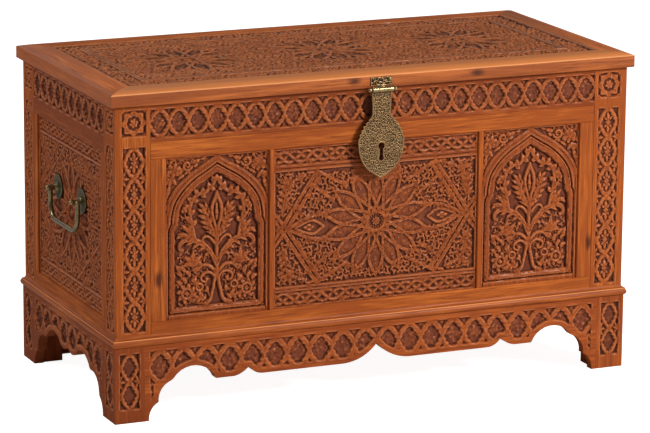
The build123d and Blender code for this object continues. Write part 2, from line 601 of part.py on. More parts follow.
# ---------------------------------------------------------------------------
# Bottom board, notched round the four posts, on the ledge of the base frame
# ---------------------------------------------------------------------------
with BuildPart() as bottom_board:
    with BuildSketch(Plane.XY.offset(CARCASS_BOTTOM)):
        Rectangle(BODY_WIDTH - 2 * WALL, BODY_DEPTH - 2 * WALL)
        with GridLocations(BODY_WIDTH - POST_FRONT, BODY_DEPTH - POST_SIDE, 2, 2):
            Rectangle(POST_FRONT, POST_SIDE, mode=Mode.SUBTRACT)
    extrude(amount=BOTTOM_BOARD)
save(bottom_board, "bottom_board")

# ---------------------------------------------------------------------------
# Base frame: four mitred lengths with a half-round nosing and a little cove
# ---------------------------------------------------------------------------
def frame_member(face, overhang, width, profile):
    """One mitred length of a frame; its profile runs outwards and up from the show face."""
    half_length = HALF_WIDTH if abs(face.z_dir.Y) > 0.5 else HALF_DEPTH
    along = Plane(origin=face.origin, x_dir=face.z_dir, z_dir=-face.x_dir)
    outer, inner = half_length + overhang, half_length + overhang - width
    with BuildPart() as member:
        with BuildSketch(along):
            add(profile)
        extrude(amount=outer, both=True)
        with BuildSketch(Plane(origin=face.origin, x_dir=face.x_dir, z_dir=(0, 0, 1))):
            Polygon((-outer, -overhang), (outer, -overhang), (inner, width - overhang),
                    (-inner, width - overhang), align=None)
        extrude(amount=LID_TOP, mode=Mode.INTERSECT)
    return member


NOSING_RADIUS = BASE_THICKNESS / 2
with BuildSketch() as base_profile:
    with Locations((NOSING_OVERHANG - (BASE_FRAME_WIDTH + NOSING_RADIUS) / 2, SKIRT_HEIGHT + NOSING_RADIUS)):
        Rectangle(BASE_FRAME_WIDTH - NOSING_RADIUS, BASE_THICKNESS)
    with Locations((NOSING_OVERHANG - NOSING_RADIUS, SKIRT_HEIGHT + NOSING_RADIUS)):
        Circle(NOSING_RADIUS)
    with BuildLine():
        foot = Line((0, SKIRT_HEIGHT + NOSING_RADIUS), (COVE, SKIRT_HEIGHT + NOSING_RADIUS))
        fillet_edge = Line(foot @ 1, (COVE, CARCASS_BOTTOM))
        hollow = ThreePointArc(fillet_edge @ 1,
                               (COVE * (1 - sin(radians(45))), CARCASS_BOTTOM + COVE * (1 - cos(radians(45)))),
                               (0, CARCASS_BOTTOM + COVE))
        Line(hollow @ 1, foot @ 0)
    make_face()
for name, face in (("front", FRONT), ("back", BACK), ("left", LEFT), ("right", RIGHT)):
    save(frame_member(face, NOSING_OVERHANG, BASE_FRAME_WIDTH, base_profile.sketch), f"base_moulding_{name}")

# ---------------------------------------------------------------------------
# Feet: square posts under the base frame, carved like the corner posts
# ---------------------------------------------------------------------------
SKIRT_WIDTH = HALF_WIDTH + SKIRT_OVERHANG
SKIRT_DEPTH = HALF_DEPTH + SKIRT_OVERHANG
for side, end in (("left", LEFT), ("right", RIGHT)):
    x_sign = end.z_dir.X
    for place, y_sign in (("front", -1), ("back", 1)):
        shown = [(end, end.x_dir.Y * y_sign * (SKIRT_DEPTH - FOOT_SIDE / 2), FOOT_SIDE)]
        if place == "front":
            shown.append((FRONT, x_sign * (SKIRT_WIDTH - FOOT_FRONT / 2), FOOT_FRONT))
        with BuildPart() as foot:
            with BuildSketch():
                with Locations((x_sign * (SKIRT_WIDTH - FOOT_FRONT / 2),
                                y_sign * (SKIRT_DEPTH - FOOT_SIDE / 2))):
                    Rectangle(FOOT_FRONT, FOOT_SIDE)
            extrude(amount=SKIRT_HEIGHT)
            chamfer(foot.edges().filter_by(Axis.Z), EASE)
            for face, across, width in shown:
                field = band_plane(face.offset(SKIRT_OVERHANG), across, FOOT_PLAIN + FOOT_CARVED / 2,
                                   upright=True)
                extrude(lattice(field, FOOT_CARVED, width - 2 * SIDE_STRIP_MARGIN, FOOT_PITCH, STRAP),
                        amount=-CARVING_DEPTH, mode=Mode.SUBTRACT)
        save(foot, f"foot_{place}_{side}")

# ---------------------------------------------------------------------------
# Aprons: scalloped boards between the feet, with a plain rim under the lattice
# ---------------------------------------------------------------------------
def scallops(plane, toe, runs):
    """The space under an apron, on both sides of its middle."""
    with BuildSketch(plane) as space:
        with BuildLine():
            end = Line((0, 0), (toe, 0)) @ 1
            for run in runs:
                edge = Line(end, run[0]) if len(run) == 1 else ThreePointArc(end, *run)
                end = edge @ 1
            mirror(about=Plane.YZ)
        make_face()
    return space.sketch


FRONT_SPAN = SKIRT_WIDTH - FOOT_FRONT
SIDE_SPAN = SKIRT_DEPTH - FOOT_SIDE
BAND_MIDDLE = SKIRT_HEIGHT - APRON_MARGIN - APRON_BAND / 2
for name, face, span, toe, runs in (
        ("front", FRONT, FRONT_SPAN, FRONT_TOE, FRONT_SCALLOPS),
        ("left", LEFT, SIDE_SPAN, SIDE_TOE, SIDE_SCALLOPS),
        ("right", RIGHT, SIDE_SPAN, SIDE_TOE, SIDE_SCALLOPS)):
    skirt_face = face.offset(SKIRT_OVERHANG)
    with BuildPart() as apron:
        extrude(block(skirt_face, -span, span, 0, SKIRT_HEIGHT), amount=-APRON_THICKNESS)
        extrude(scallops(skirt_face, toe, runs), amount=-APRON_THICKNESS, mode=Mode.SUBTRACT)
        rim = scallops(band_plane(skirt_face, 0, APRON_RIM), toe, runs)
        band = lattice(band_plane(skirt_face, 0, BAND_MIDDLE), 2 * span, APRON_BAND, APRON_PITCH, STRAP)
        extrude(band - rim, amount=-CARVING_DEPTH, mode=Mode.SUBTRACT)
    save(apron, f"apron_{name}")

with BuildPart() as apron_back:
    skirt_face = BACK.offset(SKIRT_OVERHANG)
    extrude(block(skirt_face, -FRONT_SPAN, FRONT_SPAN, 0, SKIRT_HEIGHT), amount=-APRON_THICKNESS)
    with BuildSketch(skirt_face):
        with BuildLine():
            inner = FRONT_SPAN - BACK_BRACKET
            Polyline((0, 0), (inner, 0), (inner, APRON_LOW / 2), (inner - APRON_RIM, APRON_LOW / 2),
                     (inner - 4 * APRON_RIM, APRON_LOW), (0, APRON_LOW))
            mirror(about=Plane.YZ)
        make_face()
    extrude(amount=-APRON_THICKNESS, mode=Mode.SUBTRACT)
save(apron_back, "apron_back")

# ---------------------------------------------------------------------------
# Lid: mitred frame with a flat bevel, carved panel, and battens underneath
# ---------------------------------------------------------------------------
HINGE_Y = HALF_DEPTH + KNUCKLE_GAP + KNUCKLE_RADIUS
HINGE_Z = CARCASS_TOP + SEAT / 2
LEAF_FRONT = HALF_DEPTH - HINGE_LEAF_WIDTH
NOTCH = KNUCKLE_RADIUS + SIDE_PLAY
with BuildSketch() as lid_profile:
    inward = LID_OVERHANG - LID_FRAME
    Polygon((LID_OVERHANG, LID_BOTTOM), (LID_OVERHANG, LID_SHOULDER), (LID_OVERHANG - BEVEL_RUN, LID_TOP),
            (inward, LID_TOP), (inward, LID_BOTTOM), align=None)
for name, face in (("front", FRONT), ("left", LEFT), ("right", RIGHT)):
    save(frame_member(face, LID_OVERHANG, LID_FRAME, lid_profile.sketch), f"lid_frame_{name}")

with BuildPart() as lid_frame_back:
    add(frame_member(BACK, LID_OVERHANG, LID_FRAME, lid_profile.sketch).part)
    for x_sign in (-1, 1):
        middle = x_sign * HINGE_SPACING / 2
        with BuildSketch(Plane.XY.offset(LID_BOTTOM)):
            with Locations((middle, (LEAF_FRONT + HINGE_Y) / 2)):
                Rectangle(HINGE_LENGTH, HINGE_Y - LEAF_FRONT)
        extrude(amount=HINGE_LEAF, mode=Mode.SUBTRACT)
        with BuildSketch(Plane.XY.offset(LID_BOTTOM)):
            with Locations((middle, (HINGE_Y - NOTCH + LID_DEPTH / 2) / 2)):
                Rectangle(HINGE_LENGTH + 6 * SIDE_PLAY, LID_DEPTH / 2 - HINGE_Y + NOTCH)
        extrude(amount=HINGE_Z + NOTCH - LID_BOTTOM, mode=Mode.SUBTRACT)
save(lid_frame_back, "lid_frame_back")

LID_PANEL_X = HALF_WIDTH + LID_OVERHANG - LID_FRAME
LID_PANEL_Y = HALF_DEPTH + LID_OVERHANG - LID_FRAME
LID_PANEL_TOP = LID_TOP - LID_PANEL_RECESS
LID_PANEL_BOTTOM = LID_PANEL_TOP - LID_PANEL_THICKNESS
INNER_X = LID_PANEL_X - LID_BORDER - LID_LINE
INNER_Y = LID_PANEL_Y - LID_BORDER - LID_LINE
lid_star = star_straps(LID_STAR_PETALS, STAR_BOSS, STAR_RING, LID_STAR_REACH, STRAP, 1.0)
with BuildSketch() as lid_strapwork:
    with GridLocations(LID_STAR_SPACING, 1, 3, 1):
        add(lid_star)
    add([bar((middle - lean, -INNER_Y), (middle + lean, INNER_Y), STRAP)
         for middle in (-LID_STAR_SPACING / 2, LID_STAR_SPACING / 2) for lean in (-INNER_Y / 2, INNER_Y / 2)])
with BuildPart() as lid_panel:
    top = Plane.XY.offset(LID_PANEL_TOP)
    with BuildSketch(Plane.XY.offset(LID_PANEL_BOTTOM)):
        Rectangle(2 * LID_PANEL_X, 2 * LID_PANEL_Y)
    extrude(amount=LID_PANEL_THICKNESS)
    with BuildSketch(top):
        Rectangle(2 * INNER_X, 2 * INNER_Y)
        add(lid_strapwork.sketch_local, mode=Mode.SUBTRACT)
    extrude(amount=-LID_CARVING_DEPTH, mode=Mode.SUBTRACT)
    for y_sign in (-1, 1):
        across = y_sign * (LID_PANEL_Y - LID_BORDER / 2)
        extrude(lattice(band_plane(top, 0, across), 2 * LID_PANEL_X, LID_BORDER, LID_BORDER_PITCH, STRAP),
                amount=-LID_CARVING_DEPTH, mode=Mode.SUBTRACT)
    for x_sign in (-1, 1):
        along = x_sign * (LID_PANEL_X - LID_BORDER / 2)
        extrude(lattice(band_plane(top, along, 0, upright=True), 2 * (LID_PANEL_Y - LID_BORDER), LID_BORDER,
                        LID_BORDER_PITCH, STRAP),
                amount=-LID_CARVING_DEPTH, mode=Mode.SUBTRACT)
save(lid_panel, "lid_panel")

with BuildPart() as lid_battens:
    with BuildSketch(Plane.XY.offset(LID_PANEL_BOTTOM - BATTEN_THICKNESS)):
        with GridLocations(2 * (HALF_WIDTH - BATTEN_INSET), 1, 2, 1):
            Rectangle(BATTEN_WIDTH, 2 * (LID_PANEL_Y - BATTEN_END))
    extrude(amount=BATTEN_THICKNESS)
save(lid_battens, "lid_battens")

# ---------------------------------------------------------------------------
# Butt hinges: leaves let in flush, five knuckles, the odd ones on the carcass
# ---------------------------------------------------------------------------
KNUCKLE_LENGTH = HINGE_LENGTH / KNUCKLES


def hinge_leaves(leaf_bottom, first):
    """Both leaves of one side of the hinges, with every second knuckle from `first`."""
    with BuildPart() as leaves:
        for x_sign in (-1, 1):
            start = x_sign * HINGE_SPACING / 2 - HINGE_LENGTH / 2
            with BuildSketch(Plane.XY.offset(leaf_bottom)):
                with Locations((start + HINGE_LENGTH / 2, (LEAF_FRONT + HINGE_Y) / 2)):
                    Rectangle(HINGE_LENGTH, HINGE_Y - LEAF_FRONT)
            extrude(amount=HINGE_LEAF)
            for index in range(KNUCKLES):
                place = start + index * KNUCKLE_LENGTH
                if index % 2 == first:
                    with BuildSketch(Plane.YZ.offset(place + SIDE_PLAY / 2)):
                        with Locations((HINGE_Y, HINGE_Z)):
                            Circle(KNUCKLE_RADIUS)
                    extrude(amount=KNUCKLE_LENGTH - SIDE_PLAY)
                else:
                    with BuildSketch(Plane.YZ.offset(place - SIDE_PLAY / 2)):
                        with Locations((HINGE_Y, HINGE_Z)):
                            Circle(NOTCH)
                    extrude(amount=KNUCKLE_LENGTH + SIDE_PLAY, mode=Mode.SUBTRACT)
            with BuildSketch(Plane.YZ.offset(start)):
                with Locations((HINGE_Y, HINGE_Z)):
                    Circle(HINGE_PIN_RADIUS + RUNNING)
            extrude(amount=HINGE_LENGTH, mode=Mode.SUBTRACT)
    return leaves


save(hinge_leaves(CARCASS_TOP - HINGE_LEAF, 0), "hinge_leaves_body")
save(hinge_leaves(LID_BOTTOM, 1), "hinge_leaves_lid")
with BuildPart() as hinge_pins:
    for x_sign in (-1, 1):
        with BuildSketch(Plane.YZ.offset(x_sign * HINGE_SPACING / 2 - HINGE_LENGTH / 2)):
            with Locations((HINGE_Y, HINGE_Z)):
                Circle(HINGE_PIN_RADIUS)
        extrude(amount=HINGE_LENGTH)
save(hinge_pins, "hinge_pins")

with BuildPart() as back_rail_top:
    extrude(block(BACK, -BETWEEN_POSTS, BETWEEN_POSTS, CARCASS_TOP - BACK_RAIL, CARCASS_TOP), amount=-WALL)
    with BuildSketch(Plane.XY.offset(CARCASS_TOP)):
        with GridLocations(HINGE_SPACING, 1, 2, 1):
            with Locations((0, (LEAF_FRONT + HALF_DEPTH) / 2)):
                Rectangle(HINGE_LENGTH, HINGE_LEAF_WIDTH)
    extrude(amount=-HINGE_LEAF, mode=Mode.SUBTRACT)
save(back_rail_top, "back_rail_top")

# ---------------------------------------------------------------------------
# Hasp: plate on the lid's edge, pin with ball ends, hanging leaf with the keyhole
# ---------------------------------------------------------------------------
HASP_BACK_Y = HASP_AXIS_Y + HASP_BARREL_RADIUS
PLATE_BOTTOM = LID_SHOULDER - HASP_PLATE_TOP - HASP_PLATE_HEIGHT


def barrel(start, length, radius, mode=Mode.ADD):
    """Adds or cuts a cylinder on the hasp's axis."""
    with BuildSketch(Plane.YZ.offset(start), mode=Mode.PRIVATE) as circle:
        with Locations((HASP_AXIS_Y, HASP_AXIS_Z)):
            Circle(radius)
    extrude(circle.sketch, amount=length, mode=mode)


with BuildPart() as hasp_plate:
    plate_face = Plane.XZ.offset(LID_DEPTH / 2)
    extrude(block(plate_face, -HASP_PLATE_WIDTH / 2, HASP_PLATE_WIDTH / 2, PLATE_BOTTOM,
                  PLATE_BOTTOM + HASP_PLATE_HEIGHT), amount=HASP_PLATE)
    extrude(block(Plane.XZ.offset(-HASP_BACK_Y), -HASP_KNUCKLE / 2, HASP_KNUCKLE / 2, HASP_AXIS_Z,
                  PLATE_BOTTOM + HASP_PLATE_HEIGHT / 2), amount=HASP_PLATE)
    barrel(-HASP_KNUCKLE / 2, HASP_KNUCKLE, HASP_BARREL_RADIUS)
    barrel(-HASP_KNUCKLE / 2, HASP_KNUCKLE, HASP_PIN_RADIUS + RUNNING, Mode.SUBTRACT)
save(hasp_plate, "hasp_plate")

with BuildPart() as hasp_pin:
    ball_middle = HASP_NECK / 2 + SIDE_PLAY + HASP_FINIAL
    ball_start = ball_middle - (HASP_FINIAL**2 - HASP_PIN_RADIUS**2) ** 0.5
    with BuildSketch(Plane(origin=(0, HASP_AXIS_Y, HASP_AXIS_Z), x_dir=(1, 0, 0), z_dir=(0, 0, 1))) as section:
        with BuildLine():
            shaft = Line((0, HASP_PIN_RADIUS), (ball_start, HASP_PIN_RADIUS))
            ball = ThreePointArc(shaft @ 1, (ball_middle, HASP_FINIAL), (ball_middle + HASP_FINIAL, 0))
            Line(ball @ 1, (0, 0))
            mirror(about=Plane.YZ)
        make_face()
    revolve(axis=Axis((0, HASP_AXIS_Y, HASP_AXIS_Z), (1, 0, 0)))
save(hasp_pin, "hasp_pin")

with BuildPart() as hasp_leaf:
    leaf_face = Plane(origin=(0, HASP_BACK_Y - HASP_LEAF, HASP_AXIS_Z), x_dir=(1, 0, 0), z_dir=(0, -1, 0))
    with BuildSketch(leaf_face):
        with BuildLine():
            half_neck, half_width = HASP_NECK / 2, HASP_WIDTH / 2
            neck = Line((0, 0), (half_neck, 0))
            side = Line(neck @ 1, (half_neck - 2, -44))
            flare = ThreePointArc(side @ 1, (half_neck + 2, -52), (half_neck + 10, -57))
            first = ThreePointArc(flare @ 1, (half_neck + 15, -61), (half_neck + 17, -68))
            second = ThreePointArc(first @ 1, (half_neck + 21, -72), (half_neck + 22, -80))
            third = ThreePointArc(second @ 1, (half_width - 0.5, -86), (half_width, -96))
            bulge = ThreePointArc(third @ 1, (half_width - 6, -126), (half_width - 22, -147))
            ThreePointArc(bulge @ 1, (half_width - 34, -157), (0, -HASP_LENGTH))
            mirror(about=Plane.YZ)
        make_face()
        with Locations((0, -KEYHOLE_DROP)):
            Circle(KEYHOLE_RADIUS, mode=Mode.SUBTRACT)
        with Locations((0, -KEYHOLE_DROP + KEYHOLE_RADIUS - KEYHOLE_HEIGHT + KEYHOLE_FOOT)):
            Circle(KEYHOLE_FOOT, mode=Mode.SUBTRACT)
        with Locations((0, -KEYHOLE_DROP + KEYHOLE_RADIUS - KEYHOLE_HEIGHT / 2)):
            Rectangle(KEYHOLE_SLOT, KEYHOLE_HEIGHT - 2 * KEYHOLE_FOOT, mode=Mode.SUBTRACT)
    extrude(amount=-HASP_LEAF)
    barrel(-HASP_NECK / 2, HASP_NECK, HASP_BARREL_RADIUS)
    barrel(-HASP_KNUCKLE / 2 - SIDE_PLAY, HASP_KNUCKLE + 2 * SIDE_PLAY, HASP_BARREL_RADIUS + SIDE_PLAY,
           Mode.SUBTRACT)
    barrel(-HASP_NECK / 2, HASP_NECK, HASP_PIN_RADIUS + RUNNING, Mode.SUBTRACT)
save(hasp_leaf, "hasp_leaf")

with BuildPart() as hasp_staple:
    with BuildSketch(Plane.YZ.offset(-STAPLE_THICKNESS / 2)):
        with Locations((HASP_BACK_Y + STAPLE_LENGTH / 2, STAPLE_Z)):
            Rectangle(STAPLE_LENGTH, STAPLE_HEIGHT)
        with Locations((HASP_AXIS_Y + STAPLE_EYE_REACH, STAPLE_Z)):
            Rectangle(STAPLE_EYE_LENGTH, STAPLE_EYE, mode=Mode.SUBTRACT)
    extrude(amount=STAPLE_THICKNESS)
save(hasp_staple, "hasp_staple")

# ---------------------------------------------------------------------------
# Bail handles: plates, posts with ball ends, swinging bails, nuts inside
# ---------------------------------------------------------------------------
with BuildPart() as handle_nuts:
    for end in (LEFT, RIGHT):
        with BuildSketch(end.offset(-PANEL_RECESS - PANEL_THICKNESS)):
            with Locations((-POST_SPREAD, HANDLE_HEIGHT), (POST_SPREAD, HANDLE_HEIGHT)):
                RegularPolygon(NUT_RADIUS, 6)
                Circle(POST_SHANK + SHANK_FIT, mode=Mode.SUBTRACT)
        extrude(amount=-NUT_THICKNESS)
save(handle_nuts, "handle_nuts")

for side, end in (("left", LEFT), ("right", RIGHT)):
    panel_face = end.offset(-PANEL_RECESS)
    with BuildPart() as plates:
        with BuildSketch(panel_face):
            with Locations((-POST_SPREAD, HANDLE_HEIGHT), (POST_SPREAD, HANDLE_HEIGHT)):
                Ellipse(HANDLE_PLATE_WIDTH / 2, HANDLE_PLATE_HEIGHT / 2)
                Circle(POST_SHANK + SHANK_FIT, mode=Mode.SUBTRACT)
        extrude(amount=HANDLE_PLATE)
    save(plates, f"handle_{side}_plates")

    tail = PANEL_THICKNESS + NUT_THICKNESS + SHANK_END
    ball_start = POST_BALL_REACH - (POST_BALL**2 - POST_RADIUS**2) ** 0.5
    with BuildPart() as posts:
        for across in (-POST_SPREAD, POST_SPREAD):
            root = panel_face.from_local_coords((across, HANDLE_HEIGHT, 0))
            with BuildSketch(Plane(origin=root, x_dir=end.z_dir, z_dir=end.x_dir)):
                with BuildLine():
                    shank = Polyline((-tail, 0), (-tail, POST_SHANK), (HANDLE_PLATE, POST_SHANK),
                                     (HANDLE_PLATE, POST_RADIUS), (ball_start, POST_RADIUS))
                    ball = ThreePointArc(shank @ 1, (POST_BALL_REACH, POST_BALL),
                                         (POST_BALL_REACH + POST_BALL, 0))
                    Line(ball @ 1, shank @ 0)
                make_face()
            revolve(axis=Axis(root, end.z_dir))
        pivot = Plane(origin=panel_face.from_local_coords((0, HANDLE_HEIGHT, BAIL_REACH)),
                      x_dir=panel_face.z_dir, z_dir=panel_face.x_dir)
        with BuildSketch(pivot):
            Circle(BAIL_PIVOT_RADIUS + RUNNING)
        extrude(amount=BAIL_SPACING, both=True, mode=Mode.SUBTRACT)
    save(posts, f"handle_{side}_posts")

    rod_plane = Plane(origin=panel_face.from_local_coords((0, HANDLE_HEIGHT, BAIL_REACH)),
                      x_dir=panel_face.x_dir, z_dir=panel_face.z_dir)
    with BuildPart() as bail:
        half = BAIL_SPACING / 2
        with BuildLine(rod_plane):
            arm = Line((half, 0), (half, BAIL_BEND - BAIL_DROP))
            bend = RadiusArc(arm @ 1, (half - BAIL_BEND, -BAIL_DROP), BAIL_BEND)
            grip = Line(bend @ 1, (BAIL_BEND - half, -BAIL_DROP))
            bend_back = RadiusArc(grip @ 1, (-half, BAIL_BEND - BAIL_DROP), BAIL_BEND)
            Line(bend_back @ 1, (-half, 0))
        with BuildSketch(Plane(origin=rod_plane.from_local_coords((half, 0, 0)), x_dir=rod_plane.x_dir,
                               z_dir=-rod_plane.y_dir)):
            Circle(BAIL_RADIUS)
        sweep()
        with Locations(*[rod_plane.from_local_coords((hand * half, 0, 0)) for hand in (-1, 1)]):
            Sphere(BAIL_RADIUS)
        for hand in (-1, 1):
            arm_end = Plane(origin=rod_plane.from_local_coords((hand * half, 0, 0)),
                            x_dir=rod_plane.z_dir, z_dir=-hand * rod_plane.x_dir)
            with BuildSketch(arm_end):
                Circle(BAIL_PIVOT_RADIUS)
            extrude(amount=half - POST_SPREAD + POST_RADIUS)
    save(bail, f"handle_{side}_bail")
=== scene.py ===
import math

import bmesh
import bpy
import numpy as np
from mathutils import Matrix, Vector


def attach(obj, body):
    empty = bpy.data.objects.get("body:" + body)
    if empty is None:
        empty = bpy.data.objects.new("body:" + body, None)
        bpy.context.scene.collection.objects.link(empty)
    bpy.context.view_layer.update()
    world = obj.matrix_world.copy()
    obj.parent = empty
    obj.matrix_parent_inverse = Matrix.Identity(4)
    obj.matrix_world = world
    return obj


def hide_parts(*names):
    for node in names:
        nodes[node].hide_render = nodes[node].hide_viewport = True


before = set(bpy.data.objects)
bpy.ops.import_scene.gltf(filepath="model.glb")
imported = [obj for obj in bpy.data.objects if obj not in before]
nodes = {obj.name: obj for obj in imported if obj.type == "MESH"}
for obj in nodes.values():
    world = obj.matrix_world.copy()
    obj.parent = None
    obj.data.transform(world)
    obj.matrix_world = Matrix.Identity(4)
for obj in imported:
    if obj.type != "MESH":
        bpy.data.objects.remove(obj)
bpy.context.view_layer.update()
scene = bpy.context.scene
MM = 0.001

# --------------------------------------
# The view: a long lens from the front left and a little above the lid.
azimuth, elevation, roll = math.radians(-23.93), math.radians(13.47), math.radians(0.47)
lens_place = (-2.5846, -5.8331, 1.8054)
lens = bpy.data.cameras.new("lens")
lens.sensor_width, lens.lens = 36.0, 195.95
lens.clip_start, lens.clip_end = 0.1, 100.0
camera = bpy.data.objects.new("camera", lens)
scene.collection.objects.link(camera)
back = Vector((math.sin(azimuth) * math.cos(elevation),
               -math.cos(azimuth) * math.cos(elevation), math.sin(elevation)))
level_right = (-back).cross(Vector((0, 0, 1))).normalized()
level_up = level_right.cross(-back)
right = level_right * math.cos(roll) + level_up * math.sin(roll)
up = level_up * math.cos(roll) - level_right * math.sin(roll)
camera.matrix_world = Matrix.Translation(lens_place) @ Matrix((right, up, back)).transposed().to_4x4()
scene.camera = camera
scene.view_settings.view_transform = "Standard"


# --------------------------------------
# Shader writing: sockets add up like numbers, other nodes come from one call.
# The floor is a pale sweep that keeps the chest's shadow.
class Socket:
    """A shader value; arithmetic on it adds Math nodes."""

    def __init__(self, tree, out):
        self.tree, self.out = tree, out

    def math(self, operation, *others):
        return self.tree.add("ShaderNodeMath", {"operation": operation},
                             dict(enumerate((self,) + others)))

    def __add__(self, other):
        return self.math("ADD", other)

    def __mul__(self, other):
        return self.math("MULTIPLY", other)

    def __sub__(self, other):
        return self.math("SUBTRACT", other)

    def __truediv__(self, other):
        return self.math("DIVIDE", other)

    def __rsub__(self, other):
        return (self * -1.0) + other

    __radd__, __rmul__ = __add__, __mul__

    def clamp(self, low=0.0, high=1.0):
        return self.math("MAXIMUM", low).math("MINIMUM", high)

    def step(self, start, end):
        """0 before start, 1 after end, smooth between."""
        return self.tree.add("ShaderNodeMapRange", {"interpolation_type": "SMOOTHSTEP"},
                             {"Value": self, "From Min": start, "From Max": end}, "Result")


class Finish:
    """A material on one Principled shader."""

    def __init__(self, name):
        self.material = bpy.data.materials.new(name)
        self.material.use_nodes = True
        self.nodes = self.material.node_tree.nodes
        self.links = self.material.node_tree.links
        self.shader = self.nodes["Principled BSDF"]

    def add(self, kind, settings, inputs, output=0):
        """Adds one node: its settings, then the values or links of its inputs."""
        node = self.nodes.new(kind)
        for key, value in settings.items():
            if key == "stops":
                ramp = node.color_ramp
                while len(ramp.elements) < len(value):
                    ramp.elements.new(0.5)
                for element, (place, colour) in zip(ramp.elements, value):
                    element.position, element.color = place, (*colour, 1.0)
            else:
                setattr(node, key, value)
        for key, value in inputs.items():
            socket = node.inputs[key]
            if isinstance(value, Socket):
                self.links.new(value.out, socket)
            elif isinstance(value, tuple) and len(value) == 3 and socket.type == "RGBA":
                socket.default_value = (*value, 1.0)
            else:
                socket.default_value = value
        return Socket(self, node.outputs[output])

    def mix(self, amount, first, second):
        """Mixes two colours."""
        node = self.nodes.new("ShaderNodeMix")
        node.data_type = "RGBA"
        for index, value in ((0, amount), (6, first), (7, second)):
            if isinstance(value, Socket):
                self.links.new(value.out, node.inputs[index])
            else:
                node.inputs[index].default_value = value if index == 0 else (*value, 1.0)
        return Socket(self, node.outputs[2])

    def set(self, **inputs):
        """Sets or links the shader's own sockets; underscores stand for spaces."""
        for key, value in inputs.items():
            socket = self.shader.inputs[key.replace("_", " ")]
            if isinstance(value, Socket):
                self.links.new(value.out, socket)
            else:
                socket.default_value = (*value, 1.0) if isinstance(value, tuple) else value


floor_mesh = bpy.data.meshes.new("floor")
floor_form = bmesh.new()
bmesh.ops.create_grid(floor_form, x_segments=1, y_segments=1, size=30.0)
floor_form.to_mesh(floor_mesh)
floor_form.free()
floor = bpy.data.objects.new("floor", floor_mesh)
scene.collection.objects.link(floor)
pale = Finish("pale floor")
pale.set(Base_Color=(0.80, 0.80, 0.80), Roughness=0.9, Specular_IOR_Level=0.1)
seen = pale.add("ShaderNodeLightPath", {}, {}, "Is Camera Ray")
glow = pale.add("ShaderNodeEmission", {}, {"Color": (1.0, 1.0, 1.0), "Strength": 0.93})
both = pale.add("ShaderNodeAddShader", {}, {0: glow, 1: Socket(pale, pale.shader.outputs[0])})
out = pale.nodes["Material Output"]
surface = pale.add("ShaderNodeMixShader", {}, {0: seen, 1: Socket(pale, pale.shader.outputs[0]), 2: both})
pale.links.new(surface.out, out.inputs["Surface"])
floor_mesh.materials.append(pale.material)

# Soft studio light: a large key from the front right, a weaker one from the
# left and behind, and a pale surround.
surround = bpy.data.worlds.new("surround")
scene.world = surround
surround.use_nodes = True
sky = surround.node_tree
ambient = sky.nodes["Background"]
ambient.inputs["Color"].default_value = (0.96, 0.97, 1.0, 1.0)
ambient.inputs["Strength"].default_value = 0.24
white = sky.nodes.new("ShaderNodeBackground")
white.inputs["Color"].default_value = (1.0, 1.0, 1.0, 1.0)
white.inputs["Strength"].default_value = 1.0
path = sky.nodes.new("ShaderNodeLightPath")
blend = sky.nodes.new("ShaderNodeMixShader")
sky.links.new(path.outputs["Is Camera Ray"], blend.inputs[0])
sky.links.new(ambient.outputs[0], blend.inputs[1])
sky.links.new(white.outputs[0], blend.inputs[2])
sky.links.new(blend.outputs[0], sky.nodes["World Output"].inputs["Surface"])


def lamp(name, place, aim, size, power):
    """A round studio lamp turned towards a point."""
    light = bpy.data.lights.new(name, "AREA")
    light.shape, light.size, light.energy = "DISK", size, power
    stand = bpy.data.objects.new(name, light)
    scene.collection.objects.link(stand)
    stand.location = place
    stand.rotation_mode = "QUATERNION"
    stand.rotation_quaternion = (Vector(aim) - Vector(place)).to_track_quat("-Z", "Y")


lamp("key lamp", (2.2, -3.3, 2.35), (0.0, -0.2, 0.3), 1.0, 176.0)
lamp("left lamp", (-2.7, 0.7, 2.45), (0.0, 0.0, 0.35), 0.9, 33.0)
lamp("back lamp", (-0.6, 3.4, 2.4), (0.0, 0.0, 0.4), 1.4, 12.0)


# --------------------------------------
# Frieze under the lid: one oiled hardwood board on the front and one on each
# end, chip carved with a lattice of pointed ovals. Grain runs along the board.
front_face, end_face = 0.240, 0.500
case_top, frieze_band = 568, (508, 559)
pore_brown, knot_brown, painted_crease_shade = (0.10, 0.03, 0.012), (0.075, 0.018, 0.009), (0.045, 0.014, 0.009)
fleck_dark, fleck_light = (0.19, 0.040, 0.011), (0.47, 0.118, 0.026)
wear_and_highlight_pale, painted_highlight_band, painted_highlight_line = (0.66, 0.21, 0.065), (0.84, 0.28, 0.075), (0.84, 0.36, 0.15)


